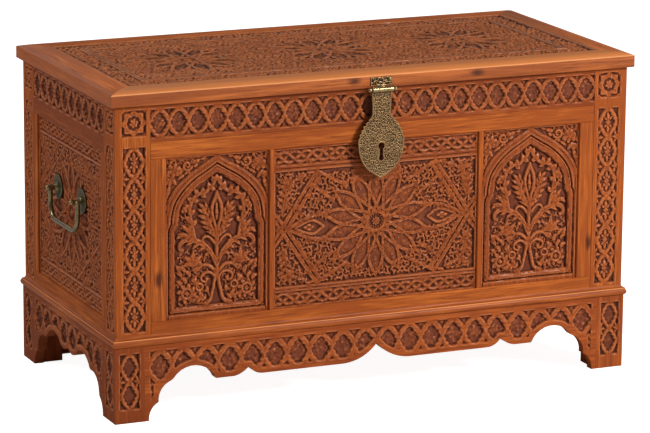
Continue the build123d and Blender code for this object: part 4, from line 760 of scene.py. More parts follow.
def tree(carving, hand):
    """One side of the tree: a foot, arching branches, palmettes, leaves, a bud and a leafy vine."""
    def stem(widths, *points, **style):
        carving.stroke(curve(*[(hand * x, y) for x, y in points]), widths, **style)

    stem((6, 5, 5, 7), (1, 262), (4, 240), (8, 222), (12, 208), (20, 200), top=-0.7)
    stem((5, 8, 8.5, 7.5, 5.5, 4), (0, 268), (8, 288), (18, 301), (30, 311), (46, 318), (61, 318.5),
         (70, 311), (69, 303), (64, 301), groove=1.3)
    stem((5, 5, 4, 3), (1, 254), (9, 265), (20, 271), (30, 269), (37, 262), groove=0.6)
    stem((4.5, 4, 3.5, 3), (3, 248), (11, 256), (21, 257), (29, 251), (28, 243), (21, 241), (18, 246))
    stem((4, 4.5, 5, 5.5, 6, 5.5, 4.5), (1, 286), (1, 305), (1.5, 325), (3, 340), (7.5, 356), (9.5, 368),
         (7, 382), (2.5, 392), (0, 401), top=-0.3)
    stem((4, 4.5, 4.5, 3.5), (1.5, 318), (8, 334), (15, 350), (20, 364), (26, 372), top=-0.6, groove=0.6)
    stem((4, 4, 3.5, 3), (2, 306), (9, 316), (17, 322), (24, 321), (27, 315), (23, 311), top=-0.7)
    stem((5.5, 6, 6, 5.5, 5), (41, 318), (46, 340), (50, 358), (51, 376), (46, 390), (36, 399), (24, 401),
         (14, 408), (6, 418), (0, 430), groove=0.5)
    stem((2.2, 2.6), (60, 366), (57, 357), (53, 350), top=-1.2)
    carving.leaves(hand, ((12, 206, 28, 199.5), (33, 268, 48, 262)), 7, lobes=2)
    carving.leaves(hand, ((22, 303, 34, 296), (33, 310, 46, 301), (45, 315, 58, 308), (13, 293, 24, 285)),
                   6, bend=1.5, lobes=2)
    carving.leaves(hand, ((4, 322, 19, 331, 7), (8, 332, 26, 340, 8), (12, 341, 31, 350, 8.5),
                          (16, 351, 35, 361, 8.5), (20, 362, 35, 372, 8), (12, 346, 12, 360, 6),
                          (17, 358, 16, 374, 6.5), (22, 368, 22, 384, 7), (24, 370, 33, 382, 7)),
                   bend=1.5, lobes=2, top=-0.5)
    carving.leaves(hand, ((47, 345, 38, 354), (50, 352, 60, 361), (51, 366, 41, 372), (51, 374, 61, 383),
                          (48, 385, 56, 396), (43, 391, 34, 387), (37, 397, 42, 409), (29, 400, 26, 411),
                          (28, 400, 20, 393), (15, 407, 16, 420), (10, 411, 3, 405), (6, 419, 9, 430)),
                   9.5, bend=1.2, lobes=2, top=-0.5)
    carving.leaves(hand, ((46, 324, 66, 346, 10), (50, 322, 73, 330, 9), (44, 326, 56, 348, 9),
                          (58, 330, 76, 322, 8)), bend=2)
    carving.leaves(hand, ((33, 224, 24, 212), (36, 216, 46, 204), (28, 214, 38, 203), (22, 222, 17, 232),
                          (40, 236, 48, 247), (48, 243, 38, 251), (58, 240, 66, 252), (66, 238, 77, 246),
                          (50, 252, 60, 264), (66, 254, 77, 262), (60, 262, 72, 273), (30, 208, 20, 215),
                          (72, 262, 77, 275), (40, 258, 46, 268)), 8, bend=1.5, lobes=2)
    carving.palmette(hand * 45, 273, 25, 90, spread=190, top=-0.5)
    carving.bead(hand * 19.5, 245.5, 2.6)
    carving.bloom(hand * 61, 373, 6.5, 3, turn=90, top=-0.8)
    carving.ring(hand * 33, 232, 6, 3.8)
    carving.ring(hand * 57, 222, 9, 4.6)
    carving.bloom(hand * 57, 222, 4.5, 4, top=-1.5)
    for angle in range(0, 360, 45):
        way = math.radians(angle + 20)
        carving.leaf(*polar(hand * 57, 222, 10, way), *polar(hand * 57, 222, 19, way + 0.3), 8, lobes=2)


def spandrel(carving, hand):
    """The corner over the arch: a scroll, a rosette and leaves that fill the rest."""
    start = 200 if hand > 0 else -20
    carving.stroke(spiral(hand * 56, 453, 9.5, 3, start, start + hand * 430), (4.5, 3.5, 2.5))
    carving.bloom(hand * 81, 446, 13, 6, turn=15, eye=0.34)
    carving.leaves(hand, ((46, 458, 30, 463, 8), (44, 450, 36, 456, 6), (68, 460, 72, 467, 6),
                          (66, 446, 72, 436, 8), (84, 434, 90, 416, 10), (90, 432, 95, 420, 6),
                          (89, 418, 94, 398, 9), (82, 430, 76, 420, 7), (93, 404, 96, 386, 5),
                          (50, 442, 62, 437, 7), (30, 463, 20, 466, 5), (93, 458, 96, 467, 6),
                          (92, 440, 96, 434, 5), (62, 436, 74, 428, 6)), bend=1, lobes=2)


arch_panel.foliage(-74, 74, 198, 300, lambda x, y: -9 if abs(x) > 12 and y > 200 else 9,
                   11.0, 8.6, level=-2.6)
for sowing in range(2):
    arch_panel.foliage(-74, 74, 318, 400, lambda x, y: max(abs(x) - 66, 54 - abs(x)), 10.0, 8.0, level=-2.4)
arch_panel.foliage(-95, 95, 380, 466,
                   lambda x, y: 9 if abs(x) < 20 else (1.4 * (466 - y) - abs(x) + 34),
                   9.4, 8.4, level=-1.4)
arch_panel.stroke([(0, 290), (0, 250)], (3, 6.5), top=-0.6)
arch_panel.leaf(0, 350, 0, 388, 7, lobes=3, top=-1.4)
for hand in (-1, 1):
    tree(arch_panel, hand)
    spandrel(arch_panel, hand)
arch_panel.weathered()
for side, middle in (("left", -0.30775), ("right", 0.30775)):
    finished(carved_board("arched_panel_" + side, arch_panel, (middle, -panel_face, 0), (1, 0, 0),
                          (0, 0, 1), 16), "root", carved_z, "carved_wood", "panel_arch_" + side)


# --------------------------------------
# Middle panel: a star of crossing straps inside a double hexagon, between two
# braided bands. Its upper edge is let in behind for the lock.
def braid(carving, left, right, middle, high, cells, strap=6.8, depth=4.6):
    """Three strands plaited along a sunk band, with toothed leaves in the eyes at its edges."""
    carving.panelled(left, right, middle - high / 2, middle + high / 2, depth, wall=1.0)
    pitch = (right - left) / cells
    swing = high / 2 - strap / 2 - 0.6
    x = np.linspace(left, right, cells * 12 + 1)
    for index in range(2 * cells + 1):
        foot, hand = left + index * pitch / 2, 1 if index % 2 else -1
        for lean in (-1, 1):
            carving.leaf(foot, middle + hand * high * 0.47, foot + lean * pitch * 0.2,
                         middle + hand * high * 0.2, 6.4, bend=lean, lobes=2, top=-1.0)
    for phase in range(3):
        wave = swing * np.sin(((x - left) / pitch + phase / 3) * 2 * np.pi)
        carving.stroke(np.stack([x, middle + wave], axis=1), strap, top=-0.4 - 0.35 * phase, crown=2.0)


def rosette(carving, x0, y0, petals, lines, widest, tip, stretch, strap, boss):
    """A star: straight straps tangent to a small circle, closing to a point over each petal."""
    for index in range(petals):
        ax, ay = polar(0, 0, 1, math.radians(90 + index * 360 / petals))

        def spot(out, off=0):
            return (x0 + stretch * (out * ax - off * ay), y0 + out * ay + off * ax)

        for hand in (-1, 1):
            bend = [spot(widest + (tip - widest) * along, hand * lines * gap)
                    for along, gap in ((0.42, 0.82), (0.78, 0.36))]
            line = curve(spot(widest, hand * lines), *bend, spot(tip), steps=4)
            carving.stroke(np.vstack([[spot(boss * 0.7, hand * lines)], line]), strap, groove=1.0)
        middle = (widest * 2 + tip) / 3.1
        carving.leaf(*spot(widest * 0.62), *spot(tip - 4), lines * 1.55, lobes=0, top=-3.0)
        for share in (0.62, 0.78, 0.94, 1.1, 1.24):
            carving.bead(*spot(middle * share), 1.5, -1.5)
        carving.bloom(*spot(middle), 3.2, 5, top=-1.8)
        carving.leaf(*spot(tip + 1), *spot(tip + 9), 5, lobes=1, top=-0.8)
    carving.ring(x0, y0, boss - 1, 2.6, top=-0.9)
    carving.bloom(x0, y0, boss * 0.46, 8, top=-1.6, eye=0.45)
    inner_beads = [(boss * 0.72, index * 22.5, 1.3, -1.5) for index in range(16)]
    outer_beads = [(boss + 4, 90 + (index + 0.5) * 360 / petals, 1.8, -0.9) for index in range(petals)]
    for out, angle, radius, top in inner_beads + outer_beads:
        way = math.radians(angle)
        carving.bead(x0 + out * math.cos(way) * stretch, y0 + out * math.sin(way), radius, top)


middle_panel = Carving(-200.5, 200.5, panel_foot, panel_top, 1.12, 41)
patch = np.maximum(np.abs(middle_panel.x) - 46, 396 - middle_panel.y)
braid(middle_panel, -197.5, 197.5, 452, 28, 6)
braid(middle_panel, -197.5, 197.5, 193.5, 27, 6)
middle_panel.panelled(-197.5, 197.5, 216, 426.5, 4.8, wall=1.0)
for bottom, top in ((430.8, 433.4), (209.8, 212.4)):
    middle_panel.panelled(-197.5, 197.5, bottom, top, 2.6, wall=0.8)
centre_y = 321.0


def hexagon_away(x, y):
    """How far a point lies outside the hexagon, in millimetres."""
    x, y = abs(x), abs(y - centre_y)
    return max((x * 104 + y * 70 - 186 * 104) / 125.4, y - 104)


def star_away(x, y):
    """How far a point lies inside the star and its two long points, in millimetres."""
    return 82 - math.hypot(x / 1.08, y - centre_y) if abs(y - centre_y) > 16 else 168 - abs(x)


middle_panel.foliage(-172, 172, 220, 422,
                     lambda x, y: max(hexagon_away(x, y) + 3, star_away(x, y)), 9.6, 8.8)
middle_panel.foliage(-196, 196, 217, 425, lambda x, y: max(1 - hexagon_away(x, y), abs(x) - 194,
                                                         abs(y - centre_y) - 103), 10.4, 9.4, level=-1.2)
for hand in (-1, 1):
    for rise in (-1, 1):
        def corner(x, y):
            return (hand * x, centre_y + rise * y)

        def strap(width, *points, bent=False, top=-0.4, groove=1.0):
            spots = [corner(*point) for point in points]
            middle_panel.stroke(curve(*spots) if bent else spots, width, top=top, groove=groove)

        for shift in (0, 12):
            strap(6.8, (186 - shift, 0), (116 - shift * 0.62, 103 - shift * 0.42))
            strap(5.6, (186 - shift, 0), (198, 18 + shift))
        strap(5.6, (116, 102), (84, 84), (60, 72))
        strap(4.6, (106, 96), (134, 102), groove=0.8)
        strap(5.6, (100, 24), (128, 20), (152, 10), (172, 0), bent=True)
        strap(4.4, (103, 0), (122, 12), (142, 8), (158, 0), bent=True, top=-0.6, groove=0.8)
        strap(5.2, (130, 80), (97, 55), (86, 48))
        strap((3, 3.4, 3), (184, 26), (180, 52), (174, 80), top=-0.5, groove=0.0)
        for away in (34, 46, 58, 70):
            for lean, reach in ((1, 13), (-1, 0.23 * away)):
                middle_panel.leaf(*corner(183 - away * 0.08, away),
                                  *corner(183 - away * 0.08 + lean * reach, away + 13),
                                  7.5, bend=hand * rise * lean * 1.5, lobes=2, top=-0.3)
        middle_panel.palmette(*corner(172, 82), 19, math.degrees(math.atan2(rise, -hand * 0.4)),
                              spread=200, top=-0.3)
        middle_panel.leaf(*corner(160, 88), *corner(136, 97), 8, lobes=3, top=-0.3)
    middle_panel.bloom(hand * 131, centre_y, 6, 4, top=-1.2, stretch=1.7)
    middle_panel.bloom(hand * 193, centre_y, 4, 4, top=-1.2)
rosette(middle_panel, 0, centre_y, 14, 13.5, 61, 99, stretch=1.04, strap=5.2, boss=17)
cover = smooth(2.0, -2.0, patch)
middle_panel.h = middle_panel.h * (1 - cover) + cover * np.maximum(middle_panel.h, -2.2)
middle_panel.weathered()
middle_panel.h = np.where(patch < 0, np.maximum(middle_panel.h, -2.4), middle_panel.h)
finished(carved_board("middle_panel", middle_panel, (0, -panel_face, 0), (1, 0, 0), (0, 0, 1), 16,
                      holes=((-4, 442.8, 4, 462.8), (-2.5, 413.8, 2.5, 433.8)),
                      mortise=(-40.3, 401.5, 40.3, 466.1, 3)),
         "root", carved_x, "carved_wood", "panel_centre")


# --------------------------------------
# End panels: one board each end, a twelve-petalled star over crossing straps,
# filled with small leaves, between two braided bands.
end_panel = Carving(-167, 167, panel_foot, 478, 1.3, 51)
end_y = 328.0
for middle in (461.5, 194.5):
    braid(end_panel, -165, 165, middle, 24, 5)
end_panel.panelled(-165, 165, 210, 446, 4.6, wall=1.0)
end_panel.foliage(-162, 162, 211, 445, lambda x, y: 84 - math.hypot(x, y - end_y), 10.0, 9.0)
for hand in (-1, 1):
    for rise in (-1, 1):
        straps = [(4.2, -0.4, 0.7, ((30, 116), (100, 60), (163, 14)))]
        for shift in (0, 11):
            straps += [(5.4, -0.5, 0.9, ((163, 14 + shift), (76 - shift, 116))),
                       (5.4, -0.5, 0.9, ((163, 118 - shift), (96 + shift * 0.4, 62 - shift)))]
        for width, top, groove, points in straps:
            end_panel.stroke([(hand * x, end_y + rise * y) for x, y in points], width, top, groove=groove)
        end_panel.palmette(hand * 140, end_y + rise * 92, 22, 225 if hand * rise > 0 else -45, spread=200)
rosette(end_panel, 0, end_y, 12, 14, 58, 104, stretch=1.04, strap=5.8, boss=17)
end_panel.weathered()
for side, outward in (("left", -1), ("right", 1)):
    finished(carved_board("end_panel_" + side, end_panel, (outward * 0.496, 0, 0), (0, outward, 0),
                          (0, 0, 1), 16), "root", carved_y, "carved_wood", "panel_side_" + side)


# --------------------------------------
# Feet: solid hardwood blocks under the posts, carved on both outer faces with
# two ovals of the posts' chain and cut plain behind.
base_face = 0.244
for name, start, first, length, second, behind, seed in corners(0.504, base_face, 0.448, 0.186, 61):
    foot = Carving(0, 114, 0, 137, 1.25, seed, corner=length)
    for index, middle in enumerate((length / 2, length + (114 - length) / 2)):
        on_back = name.startswith("back") and (index == 0) == (length == 56)
        if not on_back:
            foot.chain(middle, 24, 126, 38, 2, strap=8.0, flowers=False)
    foot.weathered()
    finished(carved_post("foot_" + name + "_carved", foot, start, first, length, second, behind),
             "root", carved_z, "carved_wood", "foot_" + name)


# --------------------------------------
# Aprons: shaped boards between the feet, carved with the frieze's lattice up
# to a plain edge along their scalloped outline.
def arc(start, through, end, steps=10):
    """Points of a round arc through three points, without the first."""
    (ax, ay), (bx, by), (cx, cy) = start, through, end
    a2, b2, c2 = ax * ax + ay * ay, bx * bx + by * by, cx * cx + cy * cy
    d = 2 * (ax * (by - cy) + bx * (cy - ay) + cx * (ay - by))
    ux = (a2 * (by - cy) + b2 * (cy - ay) + c2 * (ay - by)) / d
    uy = (a2 * (cx - bx) + b2 * (ax - cx) + c2 * (bx - ax)) / d
    first, middle, last = (math.atan2(y - uy, x - ux) for x, y in (start, through, end))
    turn = (last - first) % (2 * math.pi)
    if (middle - first) % (2 * math.pi) > turn:
        turn -= 2 * math.pi
    radius = math.hypot(ax - ux, ay - uy)
    return [polar(ux, uy, radius, first + turn * n / steps) for n in range(1, steps + 1)]


def scalloped(start, *runs):
    """A line of straight runs, each given by its end, and arcs, given by a point on them and their end."""
    line, here = [start], start
    for run in runs:
        round_run = isinstance(run[0], tuple)
        line += arc(here, *run) if round_run else [run]
        here = run[1] if round_run else run
    return line


front_edge = scalloped((448, 0), (440, 0), ((436, 20), (422, 33)), (422, 39), ((414, 59), (398, 70)),
                       (394, 73), ((353, 93), (313, 65)), (278, 65), ((265, 69), (250, 80)),
                       ((238, 69), (222, 65)), (70, 65), ((31, 73), (0, 97)))
side_edge = scalloped((186, 0), (182, 0), ((178, 19), (165, 32)), (163, 38), ((151, 61), (122, 68)),
                      (115, 70), ((74, 91), (38, 74)), ((20, 71), (0, 79)))
for side, edge, origin, across, cells, grain in (
        ("front", front_edge, (0, -base_face, 0), (1, 0, 0), 20, carved_apron),
        ("left", side_edge, (-0.504, 0, 0), (0, -1, 0), 8, carved_y),
        ("right", side_edge, (0.504, 0, 0), (0, 1, 0), 8, carved_y)):
    half = edge[0][0]
    scallops = mirrored(edge)
    apron = Carving(-half, half, 0, 137, 1.3, 71)
    apron.lattice(-half + 8, half - 8, 66, 127, cells, strap=10.8)
    for hand in (-1, 1):
        apron.panelled(*sorted((hand * (half - 17), hand * (half - 6))), 30, 67, 4.0)
        for low in (31, 43, 55):
            apron.leaf(hand * (half - 8), low, hand * (half - 15), low + 14, 7.0, lobes=2, top=-0.6)
    apron.h *= 1 - smooth(-11.4, -10.2, inside_of(apron, scallops + [(-half, 400), (half, 400)]))
    apron.weathered()
    finished(carved_board("apron_" + side + "_carved", apron, origin, across, (0, 0, 1), 18,
                          outlines=[scallops + [(-half, 137), (half, 137)]]),
             "root", grain, "carved_wood", "apron_" + side)


# --------------------------------------
# Lid panel: a hardwood panel let into the lid's frame, a carved border round a
# field with three stars; its colour is greyed as painted sheen on the top.
# Painted sheen: the lid wood's colours are greyed to stand for the reflection on the lid's top.
wood_lid = wood("lid wood", "X", light=(0.40, 0.150, 0.060), dark=(0.22, 0.074, 0.028),
                ground=(0.06, 0.023, 0.013), sheen=0.12)
lid_origin = (0, 0, 0.5943)


def border_away(x, y):
    """How far a point lies outside the lid's border, or how far inside the line round its field."""
    near_field = abs(x) < 419 and abs(y) < 159
    return max(abs(x) - 457, abs(y) - 197, min(419 - abs(x), 159 - abs(y)) if near_field else -99)


lid_border = Carving(-460, 460, -200, 200, 1.6, 81)
lid_border.panelled(-457, 457, -197, 197, 3.6)
lid_border.foliage(-457, 457, -197, 197, lambda x, y: border_away(x, y) + 4, 10.4, 9.4, level=-0.6)
away = np.maximum(np.abs(lid_border.x) - 414, np.abs(lid_border.y) - 154)
lid_border.h = np.where(away < 5, np.maximum(lid_border.h, -0.3 - 3.3 * smooth(4.2, 5.4, away)),
                        lid_border.h)
lid_border.weathered()
finished(carved_board("lid_border", lid_border, lid_origin, (1, 0, 0), (0, 1, 0), 20,
                      holes=((-414, -154, 414, 154),)),
         "lid", wood_lid, "carved_wood", "lid_panel")
lid_field = Carving(-414, 414, -154, 154, 1.62, 82)
lid_field.panelled(-409, 409, -149, 149, 4.0)
star_middles = (-270, 0, 270)
lid_field.foliage(-408, 408, -148, 148,
                  lambda x, y: 88 - min(math.hypot(x - c, y) for c in star_middles), 10.4, 9.4, level=-0.6)
for c in star_middles:
    for hand in (-1, 1):
        for shift in (0, 12):
            for line in (((135 - shift, -149), (75 - shift, 0), (135 - shift, 149)),
                         ((30 + shift, 149), (135, 40 + shift)),
                         ((30 + shift, -149), (135, -40 - shift))):
                lid_field.stroke([(c + hand * x, y) for x, y in line], 5.2, top=-0.6, groove=1.0)
    rosette(lid_field, c, 0, 12, 15, 62, 112, stretch=1.05, strap=6.0, boss=18)
lid_field.weathered()
finished(carved_board("lid_field", lid_field, lid_origin, (1, 0, 0), (0, 1, 0), 20),
         "lid", wood_lid, "carved_wood", "lid_panel")


# --------------------------------------
# Plain frame: rails, stiles and muntins of the case, the back, the bottom and
# the battens, planed and oiled; each keeps its solid and gets its own grain.
unoiled = dict(light=(0.44, 0.15, 0.055), dark=(0.27, 0.085, 0.03), gloss=0.66)
wood_stile = wood("stile wood", "Z", knots=((-0.4205, -0.24, 0.254, 0.012), (0.429, -0.24, 0.243, 0.011)))
wood_inside, wood_batten = wood("inside wood", "X", **unoiled), wood("batten wood", "Y", **unoiled)
for material, names in ((wood_x, ("front_rail_top", "front_rail_bottom", "back_rail_top",
                                  "back_rail_bottom", "back_panel", "apron_back")),
                        (wood_y, ("rail_bottom_left", "rail_bottom_right")),
                        (wood_stile, ("stiles_front",)),
                        (wood_z, ("muntins_front", "stiles_left", "stiles_right")),
                        (wood_inside, ("bottom_board",)),
                        (wood_batten, ("lid_battens",))):
    for name in names:
        for place in nodes[name].material_slots:
            place.material = material


# --------------------------------------
# Base moulding and lid frame: planed hardwood lengths mitred and glued at the
# corners, their arrises worn round.
def eased(name, body, material, width, least=9.0, mitre=0.0003):
    """A copy of a solid with its arrises rounded by `width`; its mitres only just."""
    form = bmesh.new()
    form.from_mesh(nodes[name].data)
    bmesh.ops.remove_doubles(form, verts=form.verts, dist=1e-6)
    bmesh.ops.dissolve_limit(form, angle_limit=math.radians(1.0), verts=form.verts, edges=form.edges)

    def on_mitre(edge):
        return any(min(abs(face.normal.x), abs(face.normal.y)) > 0.3 for face in edge.link_faces)

    for mitred, amount, segments in ((True, mitre, 1), (False, width, 3)):
        arrises = [edge for edge in form.edges if len(edge.link_faces) == 2 and on_mitre(edge) == mitred
                   and edge.calc_face_angle() > math.radians(least)]
        bmesh.ops.bevel(form, geom=arrises, offset=amount, segments=segments, profile=0.5,
                        affect="EDGES", clamp_overlap=True, material=-1)
    bmesh.ops.recalc_face_normals(form, faces=form.faces)
    finished(shown(form, name + "_eased", smooth_below=32.0), body, material, "frame_wood", name)


worn = dict(light=(0.50, 0.134, 0.029), dark=(0.29, 0.070, 0.016), sheen=0.16)
wood_lid_y = wood("lid frame wood y", "Y", light=(0.62, 0.178, 0.044), dark=(0.38, 0.098, 0.026), sheen=0.2)
wood_lid_back = wood("lid frame wood back", "X", **worn)
# Painted highlight along the front member's bevel and arris, over the heights given.
wood_lid_x = wood("lid frame wood x", "X", **worn, bright=(0.5885, 0.5905, 0.5954),
                  knots=((-0.052, -0.25, 0.582, 0.011), (0.190, -0.25, 0.581, 0.011)))
# Painted highlight along the top of the nosing, over the heights given.
moulding_x, moulding_y = (wood("moulding wood along " + grain.lower(), grain, sheen=0.16, gloss=0.45,
                               bright=(0.1490, 0.1502, 0.1503)) for grain in "XY")
for side, material, lid_material in (("front", moulding_x, wood_lid_x), ("back", moulding_x, wood_lid_back),
                                     ("left", moulding_y, wood_lid_y), ("right", moulding_y, wood_lid_y)):
    eased("base_moulding_" + side, "root", material, 0.0006, least=20.0)
    eased("lid_frame_" + side, "lid", lid_material, 0.0016)


# --------------------------------------
# Hasp: a cast brass leaf, stippled all over with a punch, with a smooth rim
# and serrated shoulders, on a turned barrel with ball finials.
def metal(name, light, dark, pit, gloss):
    """Aged cast metal: cloudy colour, dark pits and rubbed rims."""
    finish = Finish(name)
    place = finish.add("ShaderNodeTexCoord", {}, {}, "Object")
    cloud = finish.add("ShaderNodeTexNoise", {}, {"Vector": place, "Scale": 60.0, "Detail": 5.0,
                                                  "Roughness": 0.6}, "Fac")
    grit = finish.add("ShaderNodeTexNoise", {}, {"Vector": place, "Scale": 900.0, "Detail": 3.0}, "Fac")
    colour = finish.add("ShaderNodeValToRGB", {"stops": ((0.35, dark), (0.65, light))},
                        {"Fac": cloud * 0.7 + grit * 0.3}, "Color")
    depth, wear = (finish.add("ShaderNodeAttribute", {"attribute_name": layer}, {}, "Fac")
                   for layer in ("depth", "wear"))
    colour = finish.mix(depth.step(0.12, 0.6) * 0.92, colour, pit)
    colour = finish.mix(wear.step(0.05, 0.5) * 0.7, colour, tuple(min(c * 1.8, 1.0) for c in light))
    bump = finish.add("ShaderNodeBump", {}, {"Height": grit * 0.5 + cloud * 0.5, "Strength": 0.25,
                                             "Distance": 0.0003}, "Normal")
    finish.set(Base_Color=colour, Metallic=0.85, Normal=bump,
               Roughness=cloud * 0.2 + depth.clamp() * 0.2 + (gloss - 0.1))
    return finish.material


brass = metal("aged brass", (0.34, 0.198, 0.084), (0.17, 0.096, 0.040), (0.016, 0.010, 0.004), 0.42)
polished_brass = metal("rubbed brass", (0.42, 0.30, 0.145), (0.22, 0.15, 0.068), (0.04, 0.03, 0.012), 0.28)


def stippled(carving, edge, spacing=2.75, depth=0.8, rim=1.9):
    """Punch marks at random inside a plain rim; edge is the distance outside the outline."""
    columns = int((carving.across[-1] - carving.across[0]) / spacing) + 3
    rows = int((carving.up[-1] - carving.up[0]) / spacing) + 3
    shift = carving.random.uniform(0.15, 0.85, (rows, columns, 2))
    column = ((carving.x - carving.across[0]) / spacing).astype(int)
    row = ((carving.y - carving.up[0]) / spacing).astype(int)
    nearest = np.full(carving.x.shape, 9.0)
    for dc in (-1, 0, 1):
        for dr in (-1, 0, 1):
            c, r = np.clip(column + dc, 0, columns - 1), np.clip(row + dr, 0, rows - 1)
            px = carving.across[0] + (c + shift[r, c, 0]) * spacing
            py = carving.up[0] + (r + shift[r, c, 1]) * spacing
            nearest = np.minimum(nearest, np.hypot(carving.x - px, carving.y - py))
    marks = -depth * smooth(spacing * 0.52, spacing * 0.16, nearest) - 0.12
    carving.h = np.minimum(carving.h, marks * smooth(-rim, -rim - 0.9, edge))


leaf_half = [(20, 0), (19, -16), (18, -32), (18, -45), (20, -50), (25.4, -54.5), (24.6, -57.6),
             (31, -60.2), (29.6, -63.8), (35.6, -66.4), (34.2, -70.4), (39.4, -73.2), (38.4, -77.6),
             (42.6, -80.6), (41.6, -85), (44.6, -88.6), (45, -96)]
leaf_half += [tuple(point) for point in curve((45, -96), (44, -108), (40.5, -122), (34, -135), (25, -146),
                                              (13, -154), (0, -161.8), steps=5)[1:]]
leaf_outline = mirrored(leaf_half)
keyhole = scalloped((0, -129.8), ((4.7, -125.1), (3.25, -121.7)), (3.25, -108.3), ((6.2, -103), (0, -96.8)))
hasp = Carving(-45.3, 45.3, -162, 0, 0.62, 91)
edge = inside_of(hasp, leaf_outline)
eye = np.hypot(hasp.x, hasp.y + 103) - 6.2
foot = np.hypot(hasp.x, hasp.y + 125.1) - 4.7
neck = np.maximum(np.abs(hasp.x) - 3.25, np.abs(hasp.y + 113.3) - 12)
hole = np.minimum(np.minimum(eye, foot), neck)
stippled(hasp, np.maximum(edge, 0.4 - hole))
hasp.h = hasp.h - 0.3 * smooth(-0.7, 0.0, edge) ** 2 + 0.45 * smooth(2.2, 1.2, hole) * smooth(0.0, 0.7, hole)
hasp.weathered(0.03, 0.0)
finished(carved_board("hasp_leaf_cast", hasp, (0, -0.2537, 0.5658), (1, 0, 0), (0, 0, 1), 3,
                      outlines=[leaf_outline, mirrored(keyhole)]), "hasp", brass, "brass", "hasp_leaf")
plate = Carving(-21, 21, 572.3, 587.3, 0.6, 92)
plate_edge = np.maximum(np.abs(plate.x) - 21, np.abs(plate.y - 579.8) - 7.5)
stippled(plate, plate_edge, spacing=6.4, depth=1.1, rim=1.0)
stippled(plate, plate_edge, rim=1.0)
plate.h = plate.h - 0.7 * smooth(-1.0, 0.0, plate_edge) ** 2
plate.weathered(0.03, 0.0)
finished(carved_board("hasp_plate_cast", plate, (0, -0.252, 0), (1, 0, 0), (0, 0, 1), 2),
         "lid", brass, "brass", "hasp_plate")


def turned(profile, centre, axis, steps=36):
    """A round solid about an axis, from a closed or open profile of (along, radius), in millimetres."""
    form = bmesh.new()
    rings = [form.verts.new((radius * MM, 0, along * MM)) for along, radius in profile]
    edges = [form.edges.new(pair) for pair in zip(rings, rings[1:])]
    bmesh.ops.spin(form, geom=rings + edges, cent=(0, 0, 0), axis=(0, 0, 1), angle=2 * math.pi, steps=steps,
                   use_merge=True)
    bmesh.ops.remove_doubles(form, verts=form.verts, dist=2e-7)
    bmesh.ops.recalc_face_normals(form, faces=form.faces)
    turn = Vector((0, 0, 1)).rotation_difference(Vector(axis)).to_matrix().to_4x4()
    bmesh.ops.transform(form, matrix=Matrix.Translation(Vector(centre) * MM) @ turn, verts=form.verts)
    return form


def united(name, *forms, smooth_below=35.0):
    """Several solids in one piece."""
    whole = bmesh.new()
    for form in forms:
        part = bpy.data.meshes.new("part")
        form.to_mesh(part)
        form.free()
        whole.from_mesh(part)
        bpy.data.meshes.remove(part)
    return shown(whole, name, smooth_below=smooth_below)


pin_place = (0, -256.2, 565.8)


def knuckle(start, end, radius=5.5, bore=2.8, ease=0.5):
    """A rolled knuckle on the hasp's pin with eased ends."""
    return turned([(start, bore), (start, radius - ease), (start + ease, radius), (end - ease, radius),
                   (end, radius - ease), (end, bore), (start, bore)], pin_place, (1, 0, 0))


def eased_block(low, high, width):
    """A block between two corners, in millimetres, with rounded arrises."""
    form = bmesh.new()
    bmesh.ops.create_cube(form, size=1.0)
    low, high = Vector(low) * MM, Vector(high) * MM
    bmesh.ops.scale(form, vec=high - low, verts=form.verts)
    bmesh.ops.translate(form, vec=(low + high) / 2, verts=form.verts)
    bmesh.ops.bevel(form, geom=form.edges[:], offset=width * MM, segments=2, profile=0.5,
                    affect="EDGES", material=-1)
    return form


def dome(radius, height, centre, axis):
    """A domed nail head standing on a surface."""
    rise = [(height * math.sin(math.radians(a)), radius * math.cos(math.radians(a)))
            for a in range(0, 90, 15)]
    return turned([(-0.8, 0), (-0.8, radius)] + rise + [(height, 0)], centre, axis, steps=24)


ball = 4.2
pin_profile = [(20.4 + ball + ball * math.cos(math.radians(a)), ball * math.sin(math.radians(a)))
               for a in range(0, 150, 9)] + [(20.3, 2.6)]
pin_profile += [(-along, radius) for along, radius in reversed(pin_profile)]
for name, body, replaced, forms in (
        ("hasp_leaf_knuckles", "hasp", ["hasp_leaf"], (knuckle(-20, -8.7), knuckle(8.7, 20))),
        ("hasp_plate_knuckle", "lid", ["hasp_plate"],
         (knuckle(-8.5, 8.5), eased_block((-8.5, -252, 566.5), (8.5, -250.1, 573.5), 0.3))),
        ("hasp_pin_turned", "lid", ["hasp_pin"], (turned(pin_profile, pin_place, (1, 0, 0)),)),
        ("hasp_plate_nails", "lid", [], (dome(3.0, 2.6, (-14.3, -252, 580.6), (0, -1, 0)),
                                         dome(3.0, 2.6, (15.6, -252, 583.2), (0, -1, 0))))):
    finished(united(name, *forms), body, polished_brass, "brass", *replaced)


# --------------------------------------
# Handles: cast bronze bails with thick bends, hanging in two posts with ball
# ends; leaf-shaped plates under the posts, nuts on the shanks inside.
def circle(radius, step):
    """Points of a circle, one every step degrees."""
    return [(radius * math.sin(math.radians(a)), radius * math.cos(math.radians(a)))
            for a in range(0, 360, step)]


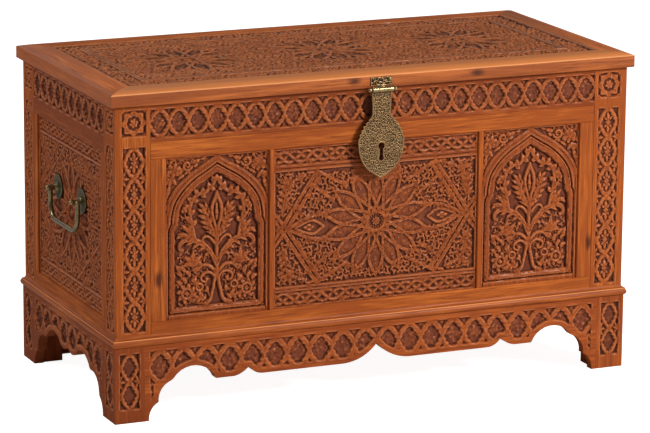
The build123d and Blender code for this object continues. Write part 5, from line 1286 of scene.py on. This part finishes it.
bronze = metal("dull bronze", (0.30, 0.24, 0.115), (0.13, 0.102, 0.048), (0.02, 0.018, 0.009), 0.27)
patina = metal("verdigris bronze", (0.185, 0.150, 0.070), (0.080, 0.062, 0.028), (0.015, 0.014, 0.007), 0.5)
post_spots, post_height = (-62.1, 62.1), 363
collar = [(0, 3.4), (0, 9.5), (1.2, 9.5), (2.0, 8.2), (3.0, 8.6), (4.2, 7.4), (5.0, 5.6), (6.4, 4.9),
          (6.4, 4.3), (2.0, 3.4), (0, 3.4)]
leaf_plate = Carving(-24, 24, -25, 25, 0.7, 95)
plate_outline = []
for a in range(0, 360, 4):
    nip = 8 * math.cos(math.radians(a)) ** 2 if 90 < a < 270 else 0
    plate_outline.append(((23 - nip) * math.sin(math.radians(a)), 24 * math.cos(math.radians(a))))
plate_edge = inside_of(leaf_plate, plate_outline)
ray = np.degrees(np.arctan2(leaf_plate.x, leaf_plate.y))
leaf_plate.sink(np.abs(plate_edge + 3.2) - 0.6, 0.55, wall=0.5)
rays = -0.5 * (0.5 + 0.5 * np.cos(np.radians(ray * 14))) * smooth(-4.0, -5.5, plate_edge)
leaf_plate.h = np.minimum(leaf_plate.h, rays * smooth(8, 11, np.hypot(leaf_plate.x, leaf_plate.y)))
leaf_plate.h = leaf_plate.h - 0.8 * smooth(-1.4, 0.0, plate_edge) ** 2
leaf_plate.weathered(0.07, 0.12)
for side, outward in (("left", -1), ("right", 1)):
    for index, across in enumerate(post_spots):
        finished(carved_board("handle_%s_plate_%d" % (side, index + 1), leaf_plate,
                              (outward * 0.498, across * MM, post_height * MM), (0, outward, 0),
                              (0, 0, 1), 2, outlines=[plate_outline, circle(3.0, 20)]),
                 "root", patina, "brass", "handle_%s_plates" % side)
    finished(united("handle_%s_collars" % side,
                    *(turned(collar, (outward * 498, across, post_height), (outward, 0, 0))
                      for across in post_spots)),
             "root", bronze, "brass")


# --------------------------------------
# Hinge screws: slotted brass heads let in flush with the hinge leaves, three
# to a leaf, under the lid's back edge.
head = Carving(-3.4, 3.4, -3.4, 3.4, 0.34, 97)
head.sink(np.abs(head.y) - 0.6, 0.7, wall=0.2)
for leaf, body, face, up in (("lower", "root", 0.5681, (0, 1, 0)), ("upper", "lid", 0.5682, (0, -1, 0))):
    for index, across in enumerate((-0.340, -0.310, -0.280, 0.280, 0.310, 0.340)):
        finished(carved_board("hinge_screw_%s_%d" % (leaf, index + 1), head, (across, 0.229, face),
                              (1, 0, 0), up, 0.8, outlines=[circle(3.2, 15)]), body, brass, "brass")


# --------------------------------------
# The metal that is shown as its solid, the hinges, lock, staple, bails and
# their posts, and any plain wood left: each gets its finish.
iron = metal("dark iron", (0.10, 0.09, 0.08), (0.04, 0.036, 0.032), (0.02, 0.018, 0.016), 0.5)
for name, node in nodes.items():
    for place in node.material_slots:
        used = place.material.name if place.material else ""
        if used.startswith("brass"):
            bright = name.endswith("posts")
            place.material = polished_brass if bright else bronze if name.startswith("handle") else brass
        elif used.startswith("dark_iron"):
            place.material = iron
        elif used.startswith(("carved_wood", "frame_wood", "plain_wood")):
            place.material = wood_x
